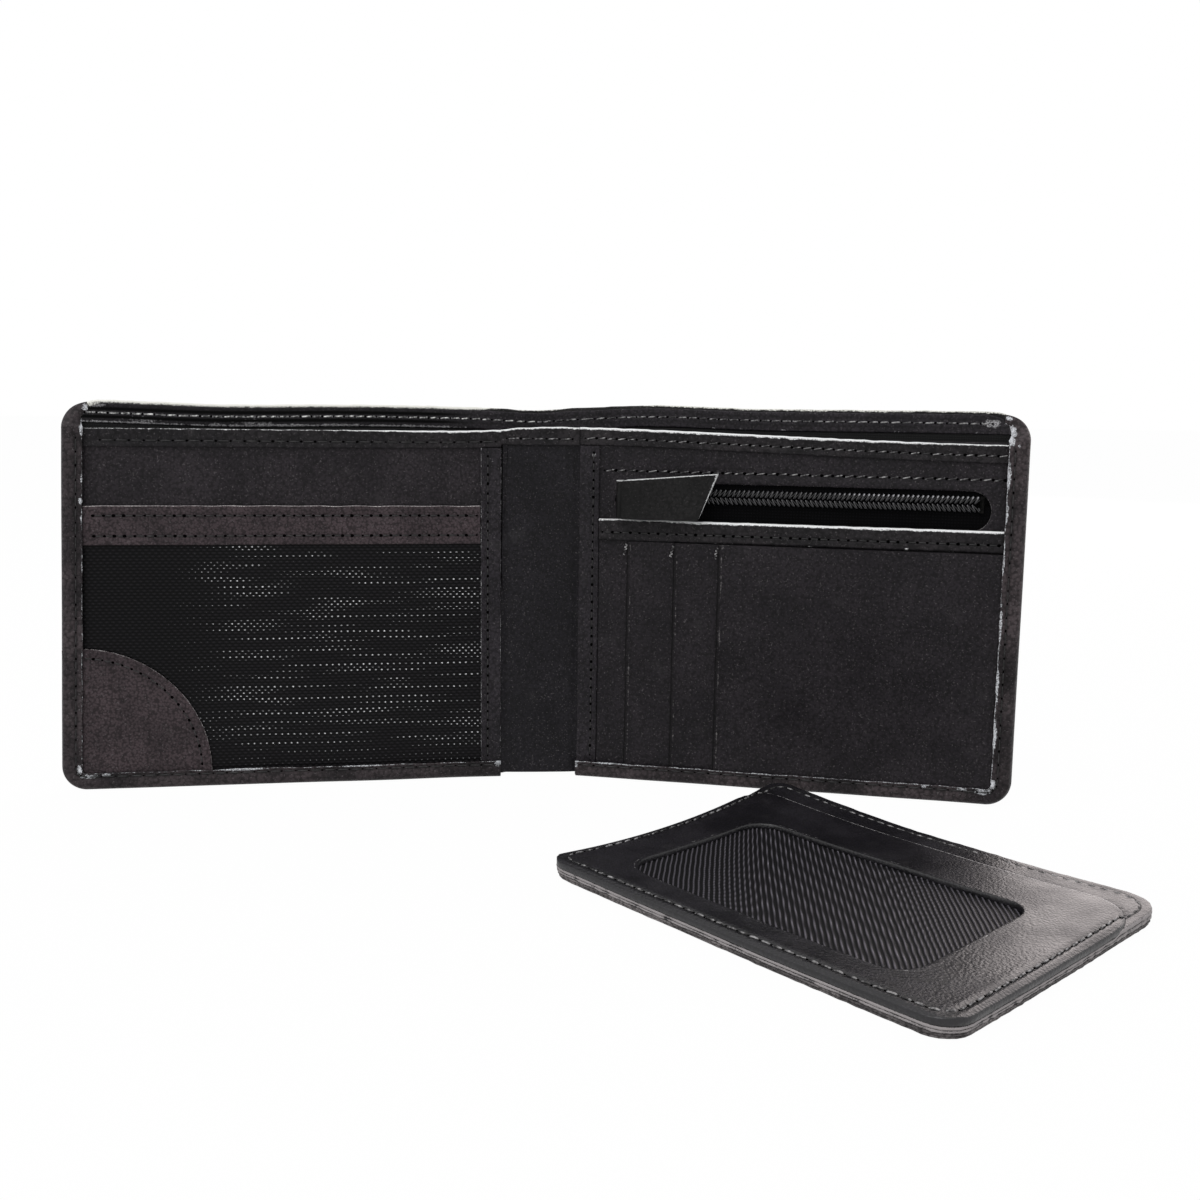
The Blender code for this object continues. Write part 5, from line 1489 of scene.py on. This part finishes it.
for wing in (right, left):
    strip_back = span(f"{wing.name}_inner_strip", wing).d1 + 0.03 * MM
    stations = half_stations(TUCK)

    def panel_depth(x, v):
        """Depth of the spine leather: one plane over the spine, then tucked behind the strip."""
        past = wing.side * x - HALF
        tucked = settle(wing, np.maximum(past, 0), strip_back, v)
        share = smooth((past + 1.2 * MM) / (1.4 * MM))
        return spine_front + (tucked - spine_front) * share

    half_sheet(
        f"{wing.name}_spine_panel", wing, panel_depth, lambda x: x * 0 + spine_bottom,
        lambda x: spine_top - 0.4 * MM + spine_line(wing.side * x) - 2.0 * MM * ramp(x - HALF, 0, 1.5),
        0.14 * MM + 0.36 * MM * ramp(HALF - stations, 0, 1), spine_leather, TUCK,
        ("spine_inner_panel",) if wing is left else (), back_steps=10, white=0.7,
    )
hem_points = points_of("spine_divider_hem")
hem_front = hem_points[:, 1].min() - middle[1]
hem_low, hem_high = hem_points[:, 2].min(), hem_points[:, 2].max()
hem_x = steps_between(-HALF - 0.3 * MM, HALF + 0.3 * MM, 0.5 * MM)
spine_row = hem_low + 1.6 * MM
HEM_THICK = 0.4 * MM
hem_top = hem_high + spine_line(hem_x) + 0.06 * MM * waves(hem_x, hem_x * 0, 4 * MM, 61)
across, drop, from_low, from_high = thin_loop(hem_x * 0 + hem_low, hem_top, HEM_THICK, 16)
swell = 0.2 * MM * bell(from_high, 1.2 * MM) * (1 - drop / HEM_THICK)
depth = hem_front + drop + groove(across - spine_row, hem_x[:, None]) - swell
# The spine hem's pale top line is wear and a painted highlight.
spine_hem = grid_mesh(
    "spine_hem", fold(hem_x[:, None], depth, across, EASE), edge=near_edge(from_high, 0.55 * MM, 1.6),
    uv=np.stack([hem_x[:, None] + 0 * across, across], axis=-1),
)
dress(spine_hem, hem_leather_with_highlight, "spine", replaces=("spine_divider_hem",))
row_x = holes_between(-HALF + 1.2 * MM, HALF - 1.2 * MM, 3.0 * MM)
row_ends = fold(row_x, row_x * 0 + hem_front + THREAD_SINK, row_x * 0 + spine_row)
to_front = np.tile([0.0, -1.0, 0.0], (len(row_x), 1))
stitch_row("spine_hem_row", row_ends, to_front, "spine", grey_thread, slant=0.12 * MM)
print("spine made")

# %% [markdown]
# ## The pull
# The slider is pulled by a leather strip folded round a pin. The strip is a closed section, the fold and
# its two layers pressed together, carried up the height of the strip and cut slanting at its free end.

# %% Pull tab
pull = np.array(joints["pull_turn"]["pos_m"])
slide = np.array(joints["zip_slide"]["axis"])
out_of = -np.array([-slide[1], slide[0], 0.0])
tab_points = points_of("zip_pull_tab")
tab_low, tab_high = tab_points[:, 2].min(), tab_points[:, 2].max()
tab_reach = ((tab_points - pull) @ slide).max()
LAYER = 0.55 * MM
LOOP = 1.2 * MM
LOOP_CENTRE = -1.1 * MM
START_HEIGHT = 9.45 * MM
SLANT = 4.8 * MM


def tab_half(along, radius):
    """Half thickness of the folded strip: the loop's radius at the pin, closing to one layer."""
    closed = radius - LOOP + LAYER + 0.02 * MM
    return closed + (radius - closed) * (1 - ramp(along, 1.0, 6.5))


along = LOOP_CENTRE + (tab_reach - LOOP_CENTRE) * np.linspace(1, 0, 34)
bend = np.radians(np.linspace(90, 270, 11)[1:-1])
section = []
for radius in (LOOP, LOOP - LAYER):
    half_thick = tab_half(along, radius)
    ahead = np.concatenate([along, LOOP_CENTRE + radius * np.cos(bend), along[::-1]])
    aside = np.concatenate([half_thick, radius * np.sin(bend), -half_thick[::-1]])
    section.append(np.stack([ahead, aside], axis=1))
ahead, aside = np.concatenate([section[0], section[1][::-1]]).T
crown = np.concatenate([[0, 0.02, 0.05], np.linspace(0.1, 0.9, 12), [0.95, 0.98, 1.0]])[:, None]
length_share = np.clip((ahead - LOOP_CENTRE) / (tab_reach - LOOP_CENTRE), 0, 1)
height_at = START_HEIGHT + (tab_high - tab_low - START_HEIGHT) * length_share
cut = SLANT * (1 - crown) * length_share**6
z = tab_low + height_at * crown
arch = 0.35 * MM * np.sin(math.pi * length_share) + 0.12 * MM * waves(ahead[None, :], z, 16 * MM, 71)
# The crease beside the pin: a shallow dent, and painted shade in it.
crease_dent_and_shade = bell(ahead + 1.2 * MM - 0.06 * (z - tab_low), 0.45 * MM)
tab_places = (
    np.array([pull[0], pull[1], 0.0])
    + (ahead - cut)[..., None] * slide
    + (aside + arch - 0.12 * MM * crease_dent_and_shade)[..., None] * out_of
    + z[..., None] * np.array([0, 0, 1.0])
)
tab_edge = np.minimum((1 - crown) * height_at, (1.5 * MM + crown * height_at))
tab_edge = np.minimum(tab_edge, np.abs(tab_reach - ahead)[None, :])
tab = grid_mesh("pull_tab_strip", tab_places, edge=near_edge(tab_edge, 0.24 * MM, 1.4), shade=0.9 * crease_dent_and_shade)
dress(tab, tab_leather, "zip_pull", replaces=("zip_pull_tab",))
print("tab made,", round(tab_reach / MM, 1), "mm long")

# %% [markdown]
# ## The loose card holder
# The holder is a small flat stack: back leather, a hidden lining, pocket leather, the ribbed fabric behind
# the window, and a front frame that stops short along the far side to make a mouth. The sheets are rings or
# discs between matching rounded outlines. The whole stack is bowed a little, as leather that has been
# carried in a pocket is.

# %% Holder sheets
back_points = points_of("holder_back_leather")
holder_centre = (back_points.min(0) + back_points.max(0)) / 2
HOLDER_TURN = math.radians(-50.18)
axis_a = np.array([math.cos(HOLDER_TURN), math.sin(HOLDER_TURN), 0.0])
axis_b = np.array([-math.sin(HOLDER_TURN), math.cos(HOLDER_TURN), 0.0])
HALF_A = np.abs((back_points - holder_centre) @ axis_a).max()
HALF_B = np.abs((back_points - holder_centre) @ axis_b).max()
print(f"holder {2 * HALF_A / MM:.1f} by {2 * HALF_B / MM:.1f} mm")


def lay_holder(a, b, z):
    """World points on the holder: its middle plus a and b along its sides, curled up at the far corners.

    The short left side is pulled in a little between its corners, as a curled sheet looks.
    """
    a, b, z = np.broadcast_arrays(a, b, z)
    curl = np.clip((b - a) / (HALF_A + HALF_B), 0, 1)
    tip = np.clip((-a - b) / (HALF_A + HALF_B), 0, 1)
    lift = 3.1 * MM * curl**3 + 1.0 * MM * tip**4 + 0.5 * MM * smooth((a + b) / (HALF_A + HALF_B) - 0.25)
    wave = 0.10 * MM * (1 + waves(a, b, 45 * MM, 81))
    a = a * (1 - 0.060 * np.clip(-a / HALF_A, 0, 1) ** 2 * (1 - np.clip(b / HALF_B, -1, 1) ** 2))
    flat = holder_centre * np.array([1, 1, 0]) + a[..., None] * axis_a + b[..., None] * axis_b
    return flat + (z + lift + wave)[..., None] * np.array([0, 0, 1.0])


def holder_box(node):
    """Lowest and highest a, b and z of a holder node."""
    offset = points_of(node) - holder_centre * np.array([1, 1, 0])
    a, b, z = offset @ axis_a, offset @ axis_b, offset[:, 2]
    return a.min(), a.max(), b.min(), b.max(), z.min(), z.max()


def disc_sheet(name, node, heights, radii, material, plies=1, shoulder=0.0, seed=1, worn=0.0):
    """A solid sheet: rings from the middle of its top, over a rim of one or more plies, to its underside.

    heights are the underside and the top. Each ply's edge is half a circle. shoulder raises the top beyond
    the mouth, where no frame covers it.
    """
    a0, a1, b0, b1, _, _ = holder_box(node)
    low, high = heights
    outline = round_outline(a0, a1, b0, b1, radii, HOLDER_STEPS)
    core = outline * 0.25
    gap = np.linalg.norm(outline - core, axis=1)[:, None]
    ply = (high - low) / plies
    near = np.array([9.0, 6.5, 4.5, 3.0, 2.3, 1.8, 1.4, 1.0, 0.6, 0.25]) * MM
    mid = np.linspace(0, 1, 7)[:-1]
    flat = np.concatenate([mid * (gap - ply / 2 - near[0]), gap - ply / 2 - near], axis=1)
    angle = np.radians(np.linspace(90, -90, 6))
    rough = 0.07 * MM * waves(outline[:, 0], outline[:, 1], 3.0 * MM, seed)[:, None]
    rims, rises = [], []
    for number in range(plies):
        lobe = np.maximum(np.cos(angle), 0.0 if number in (0, plies - 1) else 0.2)
        ragged = 0.05 * MM * waves(outline[:, 0], outline[:, 1], 2.0 * MM, seed + number + 1)[:, None]
        rims.append(gap - ply / 2 + ply / 2 * lobe + rough + ragged)
        rises.append(high - ply * number - ply / 2 * (1 - np.sin(angle)) + 0 * gap)
    full = np.concatenate([flat, *rims, flat[:, ::-1]], axis=1)
    z = np.concatenate([flat * 0 + high, *rises, flat * 0 + low], axis=1)
    full = full - UNDERCUT * (1 - z / POCKET_TOP) ** 2
    places = ring_points(core, outline, full / gap)
    from_edge = gap - full
    a, b = places[..., 0], places[..., 1]
    beyond = past_mouth(a, b) + 1.5 * MM * smooth((3.5 * MM - from_edge) / MM)
    open_top = smooth((beyond + 1.5 * MM) / (2 * MM)) * (z - low) / (high - low)
    on_row = bell(from_edge - HOLDER_ROW, 0.45 * MM)
    puff = 0.14 * MM * on_row - 0.10 * MM * bell(from_edge - 2.6 * MM, 0.8 * MM)
    z = z + open_top * (shoulder - puff * (z > high - 1e-6) * (shoulder > 0))
    # Painted shade along the stitch groove where the pocket is open on top.
    made = grid_mesh(
        name, lay_holder(a, b, z), wrap_rows=True, wrap_columns=False,
        edge=near_edge(from_edge, 0.3 * MM, worn), uv=places,
        shade=0.85 * open_top * on_row * (shoulder > 0),
    )
    dress(made, material, "card_holder", replaces=(node,))
    return made


def past_mouth(a, b):
    """How far a place lies beyond the frame's mouth edge, which turns down in an arc at both ends.

    Within a radius r of a short side the edge is at mouth - r + sqrt(r^2 - p^2), with p the way into it.
    """
    radius = np.where(a > 0, MOUTH_RADII[0], MOUTH_RADII[1])
    past = np.clip(np.abs(a) - (HALF_A - radius), 0, radius)
    return b - MOUTH_AT + radius - np.sqrt(radius**2 - past**2)


HOLDER_ROW = 2.2 * MM
HOLDER_STEPS = 46
MOUTH_AT = holder_box("holder_front_frame")[3]
MOUTH_RADII = np.array([11.0, 8.0]) * MM
UNDERCUT = 0.7 * MM
POCKET_TOP = 2.35 * MM
SHOULDER = 0.75 * MM
CORNERS = np.array([5.5, 5.5, 7.5, 5.0]) * MM
disc_sheet(
    "holder_back", "holder_back_leather", (0, 1.15 * MM), CORNERS, layer_leather, 2,
    seed=82, worn=0.80,
)
holder_lining = disc_sheet(
    "holder_lining_sheet", "holder_inner_lining", (1.05 * MM, 1.35 * MM), CORNERS - 1.2 * MM, lining_cloth,
    seed=84,
)
disc_sheet(
    "holder_pocket", "holder_pocket_leather", (1.15 * MM, POCKET_TOP), CORNERS, holder_leather,
    2, SHOULDER, seed=86, worn=1.7,
)
a0, a1, b0, b1, _, _ = holder_box("holder_inner_lining")

# %% Holder frame with its window
a0, a1, b0, b1, _, z1 = holder_box("holder_front_frame")
window_radii = np.array([7.5, 6.5, 5.5, 6.5]) * MM
window_sides = (a0 + 13.2 * MM, a1 - 14.9 * MM, b0 + 8.8 * MM, b1 - 14.6 * MM)
window = round_outline(*window_sides, window_radii, HOLDER_STEPS)
outline = round_outline(a0, a1, b0, b1, [*CORNERS[:2], *MOUTH_RADII], HOLDER_STEPS)
gap = np.linalg.norm(outline - window, axis=1)
thick = z1 - POCKET_TOP
FRAME_RIM = 0.35 * MM
share, drop, from_window, from_outer = ring_section(
    gap, thick, FRAME_RIM, (0, 0.2, 0.4, 0.65, 0.9, 1.15, 1.4, 1.7, 2.1, 2.6, 3.3), 6,
)
places = ring_points(window, outline, share)
front = 1 - drop / thick
a, b = places[..., 0], places[..., 1]
edge_distance = np.minimum(HALF_A - np.abs(a), b + HALF_B)
on_row = bell(edge_distance - HOLDER_ROW, 0.45 * MM)
press = 0.22 * MM * on_row - 0.12 * MM * bell(edge_distance - 3.2 * MM, 0.9 * MM)
lip = 0.04 * MM * bell(from_window - 0.9 * MM, 0.7 * MM)
round_off = 0.35 * MM * smooth(1 - edge_distance / (1.3 * MM))
arc_end = smooth(past_mouth(a, b) / (2.5 * MM) + 1) * smooth((4 * MM - edge_distance) / (1.5 * MM))
mouth_fall = 0.15 * MM * smooth(1 - (b1 - b) / (5 * MM)) + 0.62 * MM * arc_end
z = z1 - drop + front * (lip - press - round_off - mouth_fall)
# The mouth's pale line is wear and a painted highlight, stronger towards the right end.
mouth_wear_and_highlight = ramp(b, 10, 6) * (0.90 + 0.30 * ramp(a, 0, 20)) * ramp(HALF_A - np.abs(a), 2.8, 1.2)
frame_edge = np.maximum(
    near_edge(from_outer - FRAME_RIM, 0.35 * MM, mouth_wear_and_highlight),
    near_edge(np.abs(from_window - 0.7 * MM), 0.22 * MM, 0.95),
)
# Painted shade along the stitch groove and inside the window's edge.
holder_frame = grid_mesh(
    "holder_frame", lay_holder(a, b, z), wrap_rows=True, edge=frame_edge, uv=places,
    shade=front * (0.85 * on_row + 0.35 * bell(from_window, 0.4 * MM)),
)
dress(holder_frame, frame_leather, "card_holder", replaces=("holder_front_frame",))

# %% Ribbed fabric behind the window
RIB = 1.01 * MM
RIB_STEPS = 90
RIB_HIGH = 0.30 * MM
RIB_BACK = 0.15 * MM
a0, a1, b0, b1, _, z1 = holder_box("holder_window_fabric")
rib_turn = -HOLDER_TURN - math.radians(8)
rib_along = np.array([math.cos(math.pi / 2 + rib_turn), math.sin(math.pi / 2 + rib_turn)])
rib_across = np.array([rib_along[1], -rib_along[0]])
corners = np.array([[a0, b0], [a1, b0], [a1, b1], [a0, b1]])
reach = corners @ rib_across
s_values = np.arange(reach.min() + 0.3 * MM, reach.max() - 0.3 * MM, RIB / 6)


def rib_limits(s):
    """Where a rib's line enters and leaves the fabric: the nearest crossings with its four sides."""
    base = s[:, None] * rib_across
    near, far = np.full(len(s), -1.0), np.full(len(s), 1.0)
    for k, (low, high) in enumerate(((a0, a1), (b0, b1))):
        first, second = (low - base[:, k]) / rib_along[k], (high - base[:, k]) / rib_along[k]
        near = np.maximum(near, np.minimum(first, second))
        far = np.minimum(far, np.maximum(first, second))
    return near, np.maximum(far, near + 0.2 * MM)


near, far = rib_limits(s_values)
t = np.concatenate([np.linspace(0, 1, RIB_STEPS), np.linspace(1, 0, 5)])
is_front = (np.arange(len(t)) < RIB_STEPS).astype(float)[None, :]
length = near[:, None] + (far - near)[:, None] * t
bend_in = 0.03 * MM * np.sin(2 * math.pi * length / (7 * MM) + s_values[:, None] / (5 * MM))
places = (s_values[:, None] + bend_in)[..., None] * rib_across + length[..., None] * rib_along
rib = np.abs(np.sin(math.pi * s_values / RIB))[:, None] ** 5
twist = 0.5 + 0.5 * np.sin(2 * math.pi * (length / (0.8 * MM) + s_values[:, None] / RIB))
crest = rib * (0.50 + 0.50 * twist) * is_front
z = z1 - RIB_HIGH + RIB_HIGH * crest - (1 - is_front) * RIB_BACK
laid = lay_holder(places[..., 0], places[..., 1], z)
# The crest value also paints highlights on the ribs and shade between them.
rib_fabric = grid_mesh("holder_ribbed_cloth", laid, edge=crest, uv=places)
dress(rib_fabric, rib_cloth, "card_holder", replaces=("holder_window_fabric",))
print("ribbed cloth:", len(rib_fabric.data.polygons), "faces")

# %% Holder stitches
ring = round_outline(
    -HALF_A + HOLDER_ROW, HALF_A - HOLDER_ROW, -HALF_B + HOLDER_ROW, HALF_B - HOLDER_ROW,
    CORNERS - HOLDER_ROW, HOLDER_STEPS,
)
ring = np.vstack([ring, ring[:1]])
ring_run = np.concatenate([[0], np.cumsum(np.hypot(*np.diff(ring, axis=0).T))])
hole_run = holes_between(0, ring_run[-1], 2.6 * MM)
hole_a, hole_b = (np.interp(hole_run, ring_run, ring[:, k]) for k in (0, 1))
frame_top = holder_box("holder_front_frame")[5]
on_frame = smooth((0.5 * MM - past_mouth(hole_a, hole_b)) / MM)
top_z = (POCKET_TOP + SHOULDER) * (1 - on_frame) + frame_top * on_frame - 0.14 * MM
up = np.tile([0.0, 0.0, 1.0], (len(hole_run), 1))
stitch_row(
    "holder_top_row", lay_holder(hole_a, hole_b, top_z), up, "card_holder", grey_thread,
    thickness=0.55 * MM, slant=0.1 * MM, lift=0.18 * MM,
)
under_z = np.full_like(hole_a, 0.04 * MM)
stitch_row("holder_under_row", lay_holder(hole_a, hole_b, under_z), -up, "card_holder")
print("holder stitched with", len(hole_run), "holes")

# %% [markdown]
# ## Zip hardware
# The slider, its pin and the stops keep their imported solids, with a dark worn metal finish.

# %% Metal pieces
for node in ("slider_body", "pull_pin", "top_stop_upper", "top_stop_lower", "bottom_stop"):
    mesh = frame["nodes"][f"zip_{node}"].data
    mesh.materials.clear()
    mesh.materials.append(dark_metal)
print("metal finished")

# %% [markdown]
# ## Stage, light and camera
# A plain white floor, a white world, and two broad soft lamps. The floor shows white to the camera and to
# reflections, and still darkens where the wallet keeps the light off it.


# %% Floor and world
def visible_ray(tree):
    """1 for camera, glossy and transmission rays, else 0."""
    path = tree.nodes.new("ShaderNodeLightPath").outputs
    first = add_math(tree, "MAXIMUM", path["Is Camera Ray"], path["Is Glossy Ray"])
    return add_math(tree, "MAXIMUM", first, path["Is Transmission Ray"])


def mix_shaders(tree, share, first, second, output):
    """Link a mix of two shader nodes to the Surface of an output node."""
    mixed = add_node(tree, "ShaderNodeMixShader", {0: share, 1: first.outputs[0], 2: second.outputs[0]})
    feed(tree.nodes[output].inputs["Surface"], mixed.outputs[0])


FLOOR_REACH = 4
corners = [(x * FLOOR_REACH, y * FLOOR_REACH, 0) for x, y in ((-1, -1), (1, -1), (1, 1), (-1, 1))]
floor_mesh = bpy.data.meshes.new("floor")
floor_mesh.from_pydata(corners, [], [(0, 1, 2, 3)])
floor = bpy.data.objects.new("floor", floor_mesh)
bpy.context.scene.collection.objects.link(floor)
floor_material = bpy.data.materials.new("pale floor")
floor_material.use_nodes = True
tree = floor_material.node_tree
tree.nodes.remove(tree.nodes["Principled BSDF"])
plain = add_node(tree, "ShaderNodeBsdfDiffuse", {"Color": (0.80, 0.80, 0.79, 1.0)})
white = add_node(tree, "ShaderNodeEmission", {"Color": (1.0, 1.0, 1.0, 1.0), "Strength": 1.0})
mix_shaders(tree, add_math(tree, "MULTIPLY", visible_ray(tree), 0.98), plain, white, "Material Output")
floor_mesh.materials.append(floor_material)

world = bpy.data.worlds.new("studio")
bpy.context.scene.world = world
world.use_nodes = True
tree = world.node_tree
soft = tree.nodes["Background"]
soft.inputs["Color"].default_value = (0.96, 0.98, 1.0, 1.0)
soft.inputs["Strength"].default_value = 0.62
bright = add_node(tree, "ShaderNodeBackground", {"Color": (1.0, 1.0, 1.0, 1.0), "Strength": 1.0})
mix_shaders(tree, visible_ray(tree), soft, bright, "World Output")


def add_softbox(name, place, aim, size, power):
    """A square area lamp at place that looks at aim."""
    lamp = bpy.data.lights.new(name, "AREA")
    lamp.shape = "SQUARE"
    lamp.size = size
    lamp.energy = power
    thing = bpy.data.objects.new(name, lamp)
    bpy.context.scene.collection.objects.link(thing)
    thing.location = place
    thing.rotation_euler = (Vector(aim) - Vector(place)).to_track_quat("-Z", "Y").to_euler()
    return thing


add_softbox("key", (-0.35, -0.45, 0.85), (0, 0.02, 0.03), 0.7, 5.0)
rim = add_softbox("rim", (0.62, 0.80, 0.42), (0.09, -0.06, 0.0), 0.8, 4.8)
rim.data.color = (1.0, 0.88, 0.86)

# %% [markdown]
# ## Camera
# The camera's place and lens come from fitting a pinhole camera to the wallet's outline in the photograph:
# a lens of 1300 pixels for a frame of 1200, almost level, and looking a little down and to the right.

# %% Camera
CAMERA_PLACE = (-0.004746, -0.260356, 0.098064)
PITCH_DOWN, YAW, ROLL = 0.158126, 0.0623264, 0.0142472
SENSOR_WIDTH = 36.0
LENS_PIXELS, FRAME_PIXELS = 1300, 1200
forward = Vector((
    math.sin(YAW) * math.cos(PITCH_DOWN), math.cos(YAW) * math.cos(PITCH_DOWN), -math.sin(PITCH_DOWN),
))
to_right = Vector((math.cos(YAW), -math.sin(YAW), 0.0))
upward = to_right.cross(forward)
camera_x = to_right * math.cos(ROLL) + upward * math.sin(ROLL)
camera_y = -to_right * math.sin(ROLL) + upward * math.cos(ROLL)
camera_data = bpy.data.cameras.new("camera")
camera_data.sensor_width = SENSOR_WIDTH
camera_data.lens = SENSOR_WIDTH * LENS_PIXELS / FRAME_PIXELS
camera_data.clip_start = 0.01
camera = bpy.data.objects.new("camera", camera_data)
bpy.context.scene.collection.objects.link(camera)
pose = Matrix((camera_x, camera_y, -forward)).transposed().to_4x4()
pose.translation = CAMERA_PLACE
camera.matrix_world = pose
bpy.context.scene.camera = camera
bpy.context.scene.view_settings.view_transform = "Standard"
